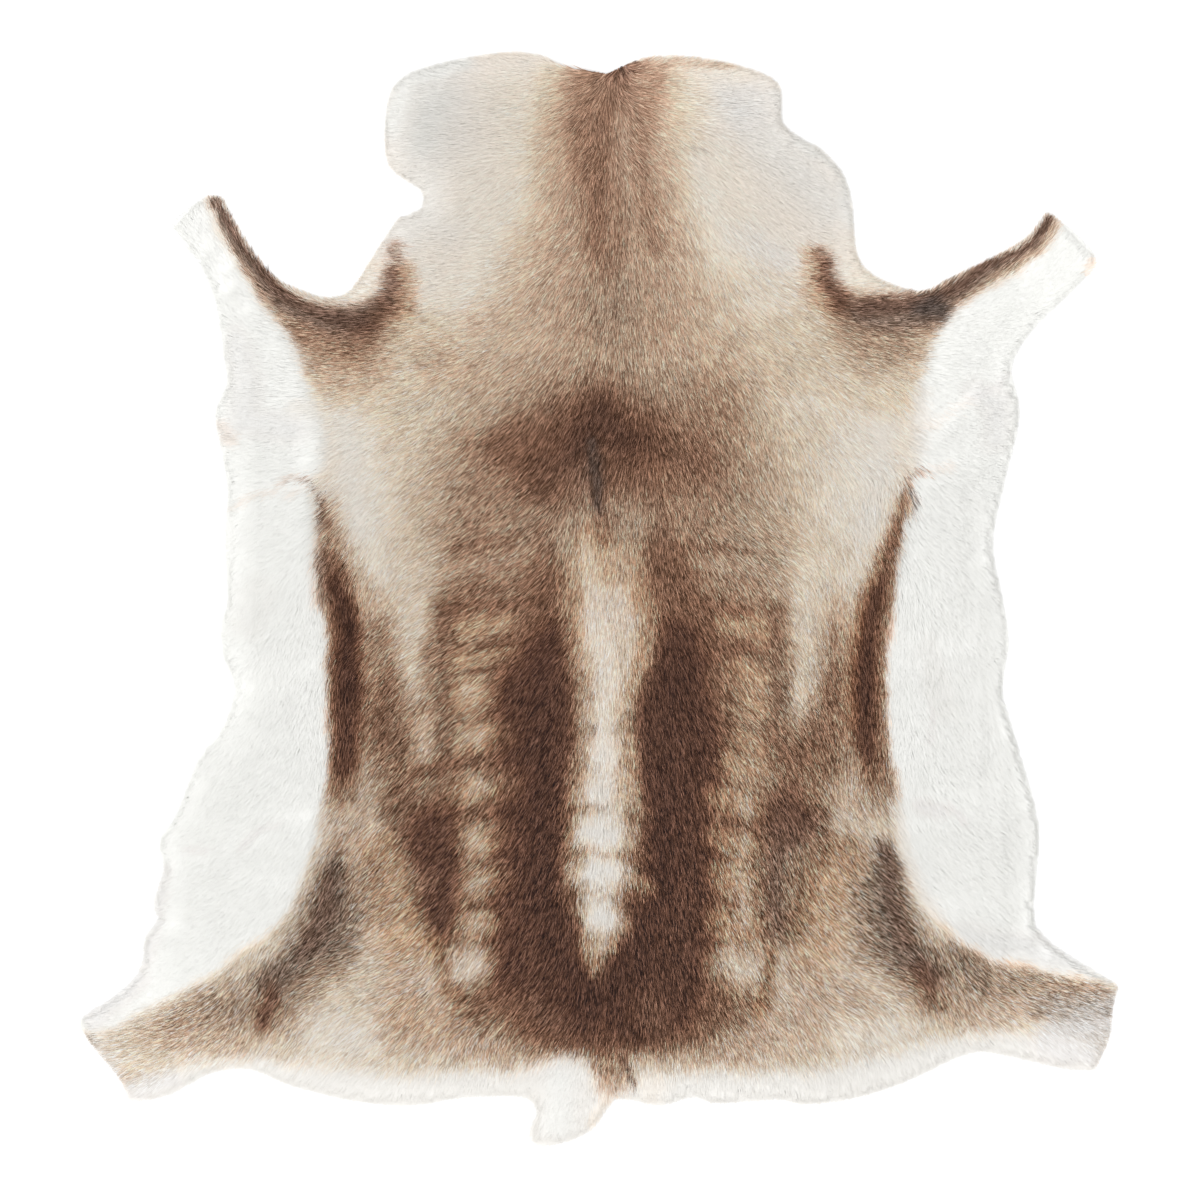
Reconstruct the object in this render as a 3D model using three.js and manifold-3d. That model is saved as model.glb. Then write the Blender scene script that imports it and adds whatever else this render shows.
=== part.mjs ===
// A reindeer hide laid flat with its hair side up, as one closed solid: a flat underside, the
// outline of the hide, and a top that follows the depth of the lying hair and its creases.
// Millimetres. +X runs across the hide, +Y towards the neck and +Z up, and the origin lies on
// the surface under the middle of the hide.

import * as THREE from 'three';
import * as BufferGeometryUtils from 'three/addons/utils/BufferGeometryUtils.js';
import Module from 'manifold-3d';

// ---- Driving dimensions ----

const hideLength = 1200; // from the neck to the tip of the tail flap
const edgeSpacing = 14; // between points along the curves of the outline
const gridSpacing = 24; // between points of the coat's surface
const rimDepth = 6; // depth of the hair at the very edge
const rimWidth = 46; // how far in from the edge the coat reaches its full depth
const spareMargin = 20; // by which the coat's slab is larger than the outline, all round and below

// The chart counts places on the hide in even steps, across from the left and down from the neck.
const chart = { left: 81, right: 1117, top: 54, bottom: 1144 };
const chartStep = hideLength / (chart.bottom - chart.top);

// ---- Tables, with places in chart steps and other sizes in millimetres ----

const table = (columns, rows) =>
  rows.map((row) => Object.fromEntries(columns.map((column, i) => [column, row[i]])));

const along = ['across', 'down'];

// The outline in smooth stretches that meet at corners, anticlockwise from the notch in the neck.
const outline = {
  neckLeft: table(along, [
    [610, 72], [566, 68], [548, 58], [505, 54], [440, 65], [401, 80], [388, 108], [388, 160],
    [405, 178], [423, 189], [423, 210], [399, 219],
  ]),
  bayLeft: table(along, [
    [399, 219], [375, 256], [353, 290], [338, 299], [318, 298], [272, 277], [238, 231], [221, 198],
  ]),
  foreLegLeft: table(along, [[221, 198], [213, 195], [191, 209], [172, 227]]),
  bellyLeft: table(along, [
    [172, 227], [200, 260], [218, 302], [226, 358], [230, 384], [217, 414], [224, 452],
    [230, 492], [227, 536], [230, 600], [223, 628], [226, 657], [237, 690], [221, 738],
    [201, 759], [176, 822], [160, 843], [167, 868], [155, 906], [164, 918], [147, 938],
    [145, 964], [128, 989], [81, 1021],
  ]),
  hindLegLeft: table(along, [[81, 1021], [90, 1040], [121, 1078], [130, 1099]]),
  rumpLeft: table(along, [
    [130, 1099], [165, 1094], [210, 1071], [250, 1067], [291, 1083], [356, 1099], [413, 1103],
    [455, 1096], [520, 1094], [538, 1104],
  ]),
  tail: table(along, [
    [538, 1104], [540, 1117], [529, 1135], [545, 1144], [585, 1132], [600, 1115], [612, 1097],
  ]),
  rumpRight: table(along, [
    [612, 1097], [638, 1098], [659, 1104], [694, 1094], [716, 1101], [780, 1097], [799, 1102],
    [853, 1096], [906, 1079], [968, 1051], [1006, 1053], [1063, 1066], [1093, 1068],
  ]),
  hindLegRight: table(along, [[1093, 1068], [1108, 1037], [1111, 1007], [1117, 986]]),
  bellyRight: table(along, [
    [1117, 986], [1089, 971], [1044, 941], [1031, 914], [1036, 830], [1021, 768], [1004, 711],
    [999, 688], [1006, 642], [1000, 600], [990, 545], [1000, 490], [1017, 415], [1009, 367],
    [1032, 327], [1071, 289], [1094, 264],
  ]),
  foreLegRight: table(along, [[1094, 264], [1090, 251], [1059, 222], [1048, 213]]),
  bayRight: table(along, [
    [1048, 213], [1030, 237], [998, 256], [952, 279], [921, 293], [880, 281], [858, 262],
    [853, 237], [851, 208],
  ]),
  neckRight: table(along, [
    [851, 208], [846, 184], [826, 155], [783, 127], [780, 97], [773, 80], [730, 65], [669, 57],
    [621, 65], [610, 72],
  ]),
};

// Depth of the lying coat at a few places, each felt within about its reach.
const coatDepths = table(
  ['across', 'down', 'reach', 'depth'],
  [
    [505, 120, 120, 24], // neck
    [700, 120, 120, 22],
    [600, 300, 150, 22], // shoulders
    [600, 520, 170, 20], // withers
    [600, 800, 190, 18], // back
    [400, 960, 130, 17], // haunches
    [800, 960, 130, 17],
    [270, 600, 110, 24], // belly flaps
    [245, 840, 100, 25],
    [955, 600, 110, 24],
    [975, 840, 100, 25],
    [255, 330, 70, 17],
    [980, 350, 70, 17],
    [210, 235, 60, 9], // ends of the legs
    [1055, 250, 60, 9],
    [110, 1050, 85, 10],
    [1090, 1020, 85, 10],
    [565, 1120, 45, 13], // tail flap
  ],
);

// Creases, each a soft trough between two places.
const creases = table(
  ['fromAcross', 'fromDown', 'toAcross', 'toDown', 'width', 'depth'],
  [
    [218, 424, 300, 436, 34, 7], // left belly flap
    [232, 508, 306, 482, 36, 6],
    [238, 690, 312, 668, 40, 4],
    [190, 862, 306, 812, 44, 7],
    [175, 925, 270, 880, 36, 5],
    [1010, 372, 918, 430, 36, 6], // right belly flap
    [985, 448, 905, 478, 34, 5],
    [998, 640, 905, 655, 38, 4],
    [1020, 800, 925, 806, 40, 5],
    [1025, 905, 945, 900, 36, 4],
    [243, 262, 330, 372, 40, 3], // behind the forelegs
    [1015, 278, 930, 345, 40, 3],
  ],
);

// ---- Helpers ----

const onHide = (across, down) =>
  new THREE.Vector2(
    (across - (chart.left + chart.right) / 2) * chartStep,
    ((chart.top + chart.bottom) / 2 - down) * chartStep,
  );

// Evenly spaced points along a smooth stretch, without its last point, which starts the next one.
function stretchPoints(rows) {
  const curve = new THREE.SplineCurve(rows.map(({ across, down }) => onHide(across, down)));
  const count = Math.max(2, Math.round(curve.getLength() / edgeSpacing));
  return curve.getSpacedPoints(count).slice(0, -1);
}

const edgePoints = Object.values(outline).flatMap(stretchPoints);

// Distance from a point to the segment from start to end.
function distanceToSegment(point, start, end) {
  const run = end.clone().sub(start);
  const share = THREE.MathUtils.clamp(point.clone().sub(start).dot(run) / run.lengthSq(), 0, 1);
  return point.distanceTo(start.clone().addScaledVector(run, share));
}

function isInside(point) {
  let inside = false;
  edgePoints.forEach((start, i) => {
    const end = edgePoints[(i + 1) % edgePoints.length];
    const crosses = start.y > point.y !== end.y > point.y;
    if (crosses && point.x < start.x + ((point.y - start.y) * (end.x - start.x)) / (end.y - start.y)) {
      inside = !inside;
    }
  });
  return inside;
}

// Distance in from the edge, 0 outside the outline.
function distanceIn(point) {
  if (!isInside(point)) return 0;
  return Math.min(
    ...edgePoints.map((start, i) =>
      distanceToSegment(point, start, edgePoints[(i + 1) % edgePoints.length]),
    ),
  );
}

// Depth of the coat away from the edge, as a mean of the table's rows that counts near ones most.
function fullDepth(point) {
  let sum = 0;
  let weights = 0;
  for (const { across, down, reach, depth } of coatDepths) {
    const distance = point.distanceTo(onHide(across, down)) / (reach * chartStep);
    const weight = 1 / (0.02 + distance ** 4);
    sum += weight * depth;
    weights += weight;
  }
  return sum / weights;
}

function creaseDepth(point) {
  let depth = 0;
  for (const crease of creases) {
    const start = onHide(crease.fromAcross, crease.fromDown);
    const end = onHide(crease.toAcross, crease.toDown);
    const distance = distanceToSegment(point, start, end) / (crease.width / 2);
    depth = Math.max(depth, crease.depth * Math.exp(-(distance ** 2)));
  }
  return depth;
}

function coatHeight(point) {
  const share = Math.sin((Math.PI / 2) * Math.min(1, distanceIn(point) / rimWidth));
  const depth = fullDepth(point) - creaseDepth(point);
  return rimDepth + Math.max(0, depth - rimDepth) * share;
}

// ---- Shapes ----

const wasm = await Module();
wasm.setup();

function toSolid(geometry) {
  const bare = geometry.clone();
  bare.deleteAttribute('normal');
  bare.deleteAttribute('uv');
  const merged = BufferGeometryUtils.mergeVertices(bare);
  return new wasm.Manifold(
    new wasm.Mesh({
      numProp: 3,
      vertProperties: new Float32Array(merged.attributes.position.array),
      triVerts: new Uint32Array(merged.index.array),
    }),
  );
}

function toGeometry(solid) {
  const mesh = solid.getMesh();
  const geometry = new THREE.BufferGeometry();
  geometry.setAttribute('position', new THREE.BufferAttribute(mesh.vertProperties, 3));
  geometry.setIndex(new THREE.BufferAttribute(mesh.triVerts, 1));
  geometry.computeVertexNormals();
  return geometry;
}

// A slab larger than the hide, whose top is the surface of the coat and whose bottom is below it.
function coatSlab() {
  const width = (chart.right - chart.left) * chartStep + 2 * spareMargin;
  const length = hideLength + 2 * spareMargin;
  const columns = Math.round(width / gridSpacing);
  const rows = Math.round(length / gridSpacing);
  const slab = new THREE.BoxGeometry(width, length, 1, columns, rows, 1);
  const { position } = slab.attributes;
  for (let i = 0; i < position.count; i += 1) {
    const onTop = position.getZ(i) > 0;
    const point = new THREE.Vector2(position.getX(i), position.getY(i));
    position.setZ(i, onTop ? coatHeight(point) : -spareMargin);
  }
  return slab;
}

// A straight-sided block with the hide's outline, from the underside to well above the coat.
function outlineBlock() {
  const height = 2 * Math.max(...coatDepths.map(({ depth }) => depth));
  return new THREE.ExtrudeGeometry(new THREE.Shape(edgePoints), {
    depth: height,
    bevelEnabled: false,
  });
}

// The hide's bounding box is centred on the origin, with the underside at height 0.
function centred(geometry) {
  geometry.computeBoundingBox();
  const middle = geometry.boundingBox.getCenter(new THREE.Vector3());
  return geometry.translate(-middle.x, -middle.y, 0);
}

function makeHide() {
  const coat = toSolid(coatSlab()).intersect(toSolid(outlineBlock()));
  const hair = new THREE.MeshStandardMaterial({ color: 0xa88d78, roughness: 0.85, metalness: 0 });
  const hide = new THREE.Mesh(centred(toGeometry(coat)), hair);
  hide.name = 'hide';
  return hide;
}

const group = new THREE.Group();
group.add(makeHide());

export default group;
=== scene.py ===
import math

import bmesh
import bpy
import numpy as np
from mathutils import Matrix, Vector
from mathutils.bvhtree import BVHTree
from mathutils.kdtree import KDTree


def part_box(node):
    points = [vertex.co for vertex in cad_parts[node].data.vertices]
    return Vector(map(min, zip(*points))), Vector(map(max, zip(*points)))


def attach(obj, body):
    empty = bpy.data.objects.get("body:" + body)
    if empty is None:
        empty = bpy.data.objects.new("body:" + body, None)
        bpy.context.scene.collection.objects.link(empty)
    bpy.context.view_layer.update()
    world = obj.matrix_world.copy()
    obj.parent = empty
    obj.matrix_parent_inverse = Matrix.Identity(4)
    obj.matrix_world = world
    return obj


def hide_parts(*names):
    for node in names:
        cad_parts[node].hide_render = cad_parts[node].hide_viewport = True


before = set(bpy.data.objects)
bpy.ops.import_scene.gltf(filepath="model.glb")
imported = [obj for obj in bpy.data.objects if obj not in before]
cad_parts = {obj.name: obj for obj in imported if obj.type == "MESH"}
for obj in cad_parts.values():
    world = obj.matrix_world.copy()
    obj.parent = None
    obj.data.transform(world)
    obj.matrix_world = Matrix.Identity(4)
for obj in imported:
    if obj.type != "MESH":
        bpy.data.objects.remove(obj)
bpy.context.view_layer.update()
hideLow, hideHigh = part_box("hide")
print("frame loaded")

# Places on the hide are counted on a chart in even steps, across from the left and down from
# the neck, and a plan is a grid of values over that chart.
chart = {"left": 81, "right": 1117, "top": 54, "bottom": 1144, "margin": 26}
step = (hideHigh.y - hideLow.y) / (chart["bottom"] - chart["top"])  # metres


def toChart(x, y):
    across = x / step + (chart["left"] + chart["right"]) / 2
    down = (chart["top"] + chart["bottom"]) / 2 - y / step
    return across, down


def toMetres(across, down):
    x = (across - (chart["left"] + chart["right"]) / 2) * step
    y = ((chart["top"] + chart["bottom"]) / 2 - down) * step
    return x, y


def newPlan(cell, channels):
    margin = 2 * chart["margin"]
    columns = int((chart["right"] - chart["left"] + margin) / cell) + 2
    rows = int((chart["bottom"] - chart["top"] + margin) / cell) + 2
    return {"cell": cell, "values": np.zeros((rows, columns, channels))}


def planPlaces(plan):
    rows, columns = plan["values"].shape[:2]
    across = chart["left"] - chart["margin"] + np.arange(columns) * plan["cell"]
    down = chart["top"] - chart["margin"] + np.arange(rows) * plan["cell"]
    return np.meshgrid(across, down)


def ease(share):
    share = np.clip(share, 0, 1)
    return share * share * (3 - 2 * share)


def readPlan(plan, across, down, eased=False):
    values = plan["values"]
    rows, columns = values.shape[:2]
    column = (np.asarray(across, float) - chart["left"] + chart["margin"]) / plan["cell"]
    row = (np.asarray(down, float) - chart["top"] + chart["margin"]) / plan["cell"]
    column = np.clip(column, 0, columns - 1.001)  # inside the last cell
    row = np.clip(row, 0, rows - 1.001)
    left, top = column.astype(int), row.astype(int)
    acrossShare, downShare = column - left, row - top
    if eased:
        acrossShare, downShare = ease(acrossShare), ease(downShare)
    acrossShare, downShare = acrossShare[..., None], downShare[..., None]
    upper = values[top, left] * (1 - acrossShare) + values[top, left + 1] * acrossShare
    lower = values[top + 1, left] * (1 - acrossShare) + values[top + 1, left + 1] * acrossShare
    return upper * (1 - downShare) + lower * downShare


# soft seeded noise from -1 to 1, in patches of about the given size
def noisePlan(cell, patch, seed, channels=1):
    coarse = newPlan(patch, channels)
    generator = np.random.default_rng(seed)
    coarse["values"] = generator.uniform(-1, 1, coarse["values"].shape)
    plan = newPlan(cell, channels)
    plan["values"] = readPlan(coarse, *planPlaces(plan), eased=True)
    return plan


# The colours of the coat, as they look in plain light.
furColours = {
    "white": (240, 240, 237),
    "milk": (222, 220, 216),
    "ivory": (222, 216, 208),
    "cream": (215, 206, 195),
    "sand": (202, 185, 166),
    "fawn": (190, 151, 123),
    "tan": (187, 158, 137),
    "taupe": (164, 138, 118),
    "hazel": (150, 117, 96),
    "brown": (123, 91, 72),
    "umber": (88, 60, 47),
    "bark": (72, 48, 38),
    "rust": (158, 110, 80),
    "smoke": (115, 97, 85),
    "ash": (152, 142, 133),
    "mist": (198, 196, 195),
    "char": (66, 58, 54),
}

coat = newPlan(1, 3)
coatAcross, coatDown = planPlaces(coat)
belly = newPlan(1, 1)  # 1 on the pale hair of the belly flaps and the rim
farAway = 1e9


# the rows and columns of the coat that a stroke or an outline can reach
def windowOf(points, reach):
    spans = []
    for axis, edge in ((1, "top"), (0, "left")):
        values = [p[axis] for p in points]
        low = int(min(values) - reach - chart[edge] + chart["margin"])
        high = int(max(values) + reach - chart[edge] + chart["margin"]) + 2
        spans.append(slice(max(low, 0), max(high, 0)))
    return tuple(spans)


# distance to a straight piece of a path, and how far along it the nearest place is
def segmentGap(across, down, start, end):
    runAcross, runDown = end[0] - start[0], end[1] - start[1]
    share = (across - start[0]) * runAcross + (down - start[1]) * runDown
    share = np.clip(share / max(runAcross**2 + runDown**2, 1e-9), 0, 1)
    gap = np.hypot(across - start[0] - share * runAcross, down - start[1] - share * runDown)
    return gap, share


# Where light and dark hair meet, the hairs in between are a little rusty.
fringe = {"shift": (4, -3, -6), "amount": 4, "contrast": 110}


def dye(colour, strength, edge, window):
    value = coat["values"][window]
    change = np.array(furColours[colour]) - value
    meeting = edge * (1 - edge) * np.clip(np.abs(change.mean(-1)) / fringe["contrast"], 0, 1)
    value += strength * edge[..., None] * change
    value += fringe["amount"] * strength * meeting[..., None] * fringe["shift"]


# a stroke of colour along points of (across, down, half width), over what is there already
def brush(colour, strength, softness, *path):
    widest = max(p[2] for p in path)
    window = windowOf(path, widest * (1 + softness) + 2)
    across, down = coatAcross[window], coatDown[window]
    nearest = np.full(across.shape, farAway)
    for start, end in zip(path, path[1:] or path):
        gap, share = segmentGap(across, down, start, end)
        nearest = np.minimum(nearest, gap / (start[2] + share * (end[2] - start[2])))
    dye(colour, strength, 1 - ease((nearest - 1 + softness) / (2 * softness)), window)


def strokes(colour, strength, softness, *paths):
    for path in paths:
        brush(colour, strength, softness, *path)


# the share of each place that lies inside an outline, with a soft edge
def coverOf(blur, outline):
    window = windowOf(outline, 2 * blur + 2)
    across, down = coatAcross[window], coatDown[window]
    nearest = np.full(across.shape, farAway)
    inside = np.zeros(across.shape, bool)
    for start, end in zip(outline, outline[1:] + outline[:1]):
        nearest = np.minimum(nearest, segmentGap(across, down, start, end)[0])
        if start[1] != end[1]:
            crossing = start[0] + (down - start[1]) * (end[0] - start[0]) / (end[1] - start[1])
            inside ^= ((start[1] > down) != (end[1] > down)) & (across < crossing)
    return window, ease(0.5 + np.where(inside, nearest, -nearest) / (2 * blur))


def fill(colour, strength, blur, *outline):
    window, cover = coverOf(blur, list(outline))
    dye(colour, strength, cover, window)


# the belly's pale hair covers what is there, without a fringe
def fillBelly(colour, blur, *outline):
    window, cover = coverOf(blur, list(outline))
    coat["values"][window] += cover[..., None] * (furColours[colour] - coat["values"][window])
    belly["values"][window] = np.maximum(belly["values"][window], cover[..., None])


def paintBody():
    coat["values"][:] = furColours["cream"]
    fill("sand", 1, 16, (400, 300), (340, 350), (334, 420), (334, 520), (330, 760), (318, 830),
         (298, 890), (262, 935), (200, 985), (120, 1030), (130, 1075), (200, 1060), (300, 1062),
         (400, 1076), (520, 1070), (640, 1074), (760, 1074), (850, 1066), (930, 1046), (1040, 1030),
         (1110, 1010), (1110, 975), (1010, 955), (940, 925), (905, 870), (892, 810), (888, 720),
         (892, 640), (900, 540), (904, 480), (910, 425), (928, 360), (938, 322), (850, 290), (800, 300),
         (700, 320), (500, 320))
    # chest and shoulders
    strokes("tan", 0.6, 0.9, ((478, 316, 14), (522, 322, 22), (560, 332, 36)),
            ((430, 352, 16), (480, 362, 22), (540, 366, 34)), ((434, 376, 14), (470, 382, 14)),
            ((736, 366, 24), (770, 376, 18)), ((705, 306, 26), (732, 322, 24), (690, 344, 38)),
            ((680, 336, 24), (720, 346, 20)))
    brush("sand", 0.8, 0.9, (770, 340, 30), (815, 372, 26))
    brush("cream", 0.5, 0.9, (800, 410, 16), (830, 402, 24))
    # the saddle over the withers
    fill("taupe", 0.9, 40, (464, 412), (502, 386), (560, 360), (620, 350), (676, 362), (722, 382),
         (748, 408), (766, 450), (774, 500), (790, 545), (796, 640), (404, 640), (424, 575), (430, 505),
         (440, 450))
    strokes("hazel", 0.65, 0.9, ((478, 450, 18), (500, 480, 30), (486, 540, 30), (480, 600, 30)),
            ((710, 414, 30), (706, 470, 34), (690, 530, 30), (690, 600, 34)))
    brush("brown", 0.8, 0.9, (502, 442, 16), (532, 436, 26), (562, 430, 34), (606, 424, 36),
          (644, 438, 32), (684, 458, 28))
    brush("brown", 0.75, 0.9, (528, 458, 28), (546, 488, 24))
    brush("brown", 0.55, 0.9, (548, 530, 9), (544, 560, 12), (540, 600, 16))
    brush("brown", 0.7, 0.9, (632, 462, 30), (650, 486, 18))
    brush("brown", 0.55, 0.9, (662, 520, 9), (664, 550, 12), (670, 600, 18))
    fill("umber", 0.55, 30, (530, 458), (552, 430), (578, 406), (600, 376), (624, 402), (650, 430),
         (656, 452), (636, 470), (616, 484), (606, 514), (594, 502), (572, 492), (540, 484))
    brush("bark", 0.4, 0.9, (574, 446, 14), (600, 410, 16), (630, 438, 12))
    # the pale flanks
    brush("cream", 0.95, 0.8, (352, 420, 24), (362, 470, 32), (376, 530, 24), (386, 570, 16))
    brush("milk", 0.6, 0.9, (345, 420, 14), (350, 470, 18), (362, 530, 12))
    brush("cream", 0.95, 0.8, (872, 420, 32), (856, 470, 40), (848, 530, 32), (838, 575, 16))
    brush("milk", 0.6, 0.9, (886, 430, 16), (882, 470, 18), (866, 530, 12))


def paintNeck():
    fill("ivory", 1, 26, (370, 40), (870, 40), (880, 240), (820, 300), (740, 312), (650, 290),
         (560, 290), (500, 304), (430, 304), (390, 290), (370, 240))
    brush("milk", 0.75, 0.8, (425, 85, 40), (412, 140, 36), (430, 195, 24), (395, 245, 18))
    brush("milk", 0.7, 0.9, (480, 90, 26), (478, 160, 26), (455, 215, 26))
    brush("white", 0.8, 0.8, (392, 125, 16), (410, 80, 16), (470, 62, 10))
    brush("milk", 0.8, 0.9, (712, 95, 30), (750, 120, 30), (790, 160, 28), (828, 205, 24))
    brush("white", 0.6, 0.8, (775, 95, 10), (800, 138, 10), (840, 165, 10), (852, 225, 10))
    brush("mist", 0.35, 0.9, (712, 125, 20), (752, 105, 20))
    brush("mist", 0.5, 0.9, (745, 238, 14), (775, 262, 14))
    brush("cream", 0.7, 0.9, (520, 90, 14), (526, 140, 18), (520, 200, 20), (500, 260, 28),
          (478, 300, 30))
    brush("cream", 0.6, 0.9, (705, 68, 16), (740, 72, 12))
    strokes("cream", 0.5, 0.9, ((498, 90, 24), (502, 150, 26), (470, 205, 22)),
            ((712, 120, 14), (722, 200, 22), (742, 270, 28)))
    brush("sand", 0.6, 0.9, (668, 72, 12), (690, 100, 16), (688, 140, 12))
    brush("tan", 0.6, 0.9, (480, 318, 12), (520, 314, 20))
    brush("tan", 0.5, 0.9, (670, 310, 22), (722, 302, 18))
    brush("sand", 0.5, 0.9, (735, 282, 18), (780, 288, 16), (800, 300, 14))
    # the dark middle
    brush("sand", 0.85, 0.8, (554, 80, 14), (550, 130, 18), (548, 190, 20), (538, 250, 26),
          (528, 305, 38))
    brush("sand", 0.75, 0.8, (672, 80, 9), (675, 130, 9), (678, 190, 13), (688, 250, 22),
          (700, 305, 34))
    strokes("tan", 0.9, 0.7,
            ((582, 76, 17), (578, 120, 25), (576, 170, 30), (576, 240, 38), (566, 305, 52)),
            ((648, 74, 16), (650, 120, 18), (650, 180, 22), (656, 250, 30), (662, 305, 42)))
    brush("taupe", 0.9, 0.8, (600, 76, 26), (602, 120, 34), (606, 180, 30), (610, 250, 34),
          (612, 315, 44))
    brush("hazel", 0.75, 0.8, (600, 78, 19), (598, 110, 20), (598, 160, 20), (604, 230, 18),
          (606, 262, 16))
    brush("hazel", 0.5, 0.8, (646, 80, 18), (642, 120, 12), (640, 160, 8), (652, 240, 14))
    brush("hazel", 0.5, 0.9, (580, 120, 9), (580, 175, 10))
    brush("brown", 0.35, 0.9, (622, 84, 8), (604, 130, 6), (598, 180, 6), (598, 245, 5))
    brush("umber", 0.75, 0.8, (598, 70, 5), (616, 72, 8), (634, 66, 6))
    brush("tan", 0.6, 0.8, (646, 66, 7), (680, 62, 6), (730, 66, 5))
    brush("hazel", 0.5, 0.8, (622, 84, 10), (628, 110, 8))
    brush("white", 0.55, 0.9, (436, 104, 26), (428, 140, 22))
    brush("ash", 0.3, 0.8, (694, 146, 3), (706, 150, 3))


def paintForelegs():
    # left
    brush("sand", 0.9, 0.8, (314, 380, 14), (345, 388, 18), (385, 385, 22))
    brush("tan", 0.8, 0.8, (318, 366, 16), (345, 372, 20), (372, 368, 20))
    brush("taupe", 0.9, 0.7, (238, 250, 5), (264, 286, 10), (292, 316, 18), (324, 338, 26),
          (352, 340, 26), (378, 330, 22))
    brush("hazel", 0.8, 0.7, (304, 328, 14), (332, 340, 18), (358, 342, 18))
    brush("smoke", 0.85, 0.6, (215, 204, 5), (229, 229, 6), (247, 258, 8), (270, 287, 9),
          (298, 310, 11), (330, 320, 14), (358, 320, 15), (378, 312, 11))
    brush("umber", 0.55, 0.8, (214, 200, 4), (227, 220, 3), (242, 244, 3), (260, 270, 4), (284, 295, 5),
          (312, 311, 6), (350, 322, 9), (374, 322, 9))
    brush("umber", 0.4, 0.9, (366, 334, 8), (376, 330, 7))
    brush("brown", 0.65, 0.9, (397, 248, 6), (399, 276, 12), (397, 302, 13), (384, 318, 11))
    brush("umber", 0.5, 0.9, (398, 270, 5), (397, 288, 7), (390, 308, 8))
    brush("fawn", 0.6, 0.9, (408, 272, 7), (413, 288, 8), (408, 312, 9))
    brush("bark", 0.5, 0.7, (415, 308, 2.5))
    # right
    brush("sand", 0.9, 0.8, (845, 385, 20), (880, 396, 20), (908, 398, 14))
    brush("taupe", 0.75, 0.8, (850, 334, 18), (872, 348, 24), (896, 350, 20))
    brush("taupe", 0.9, 0.7, (1052, 228, 5), (1036, 248, 8), (1012, 264, 12), (984, 280, 15),
          (955, 297, 16), (928, 314, 20), (900, 324, 24), (868, 322, 26), (846, 314, 18))
    brush("smoke", 0.85, 0.6, (1048, 224, 4), (1033, 246, 5), (1012, 259, 6), (984, 274, 8),
          (955, 291, 11), (928, 308, 15), (900, 314, 17), (870, 312, 17), (850, 306, 11))
    brush("umber", 0.6, 0.8, (1048, 220, 3), (1042, 234, 3), (1020, 254, 3), (990, 268, 4),
          (960, 286, 5), (930, 301, 6), (890, 304, 9), (860, 306, 8))
    brush("char", 0.7, 0.8, (916, 308, 9), (932, 304, 10), (941, 312, 8))
    brush("fawn", 0.7, 0.9, (806, 252, 7), (810, 278, 11), (820, 302, 11))
    brush("brown", 0.75, 0.85, (815, 250, 6), (820, 268, 9), (825, 286, 9), (838, 302, 11))
    brush("umber", 0.6, 0.85, (818, 262, 5), (823, 282, 6), (836, 300, 8))
    brush("bark", 0.5, 0.7, (944, 322, 2), (944, 334, 2))
    brush("tan", 0.7, 0.8, (1056, 230, 5))


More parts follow.
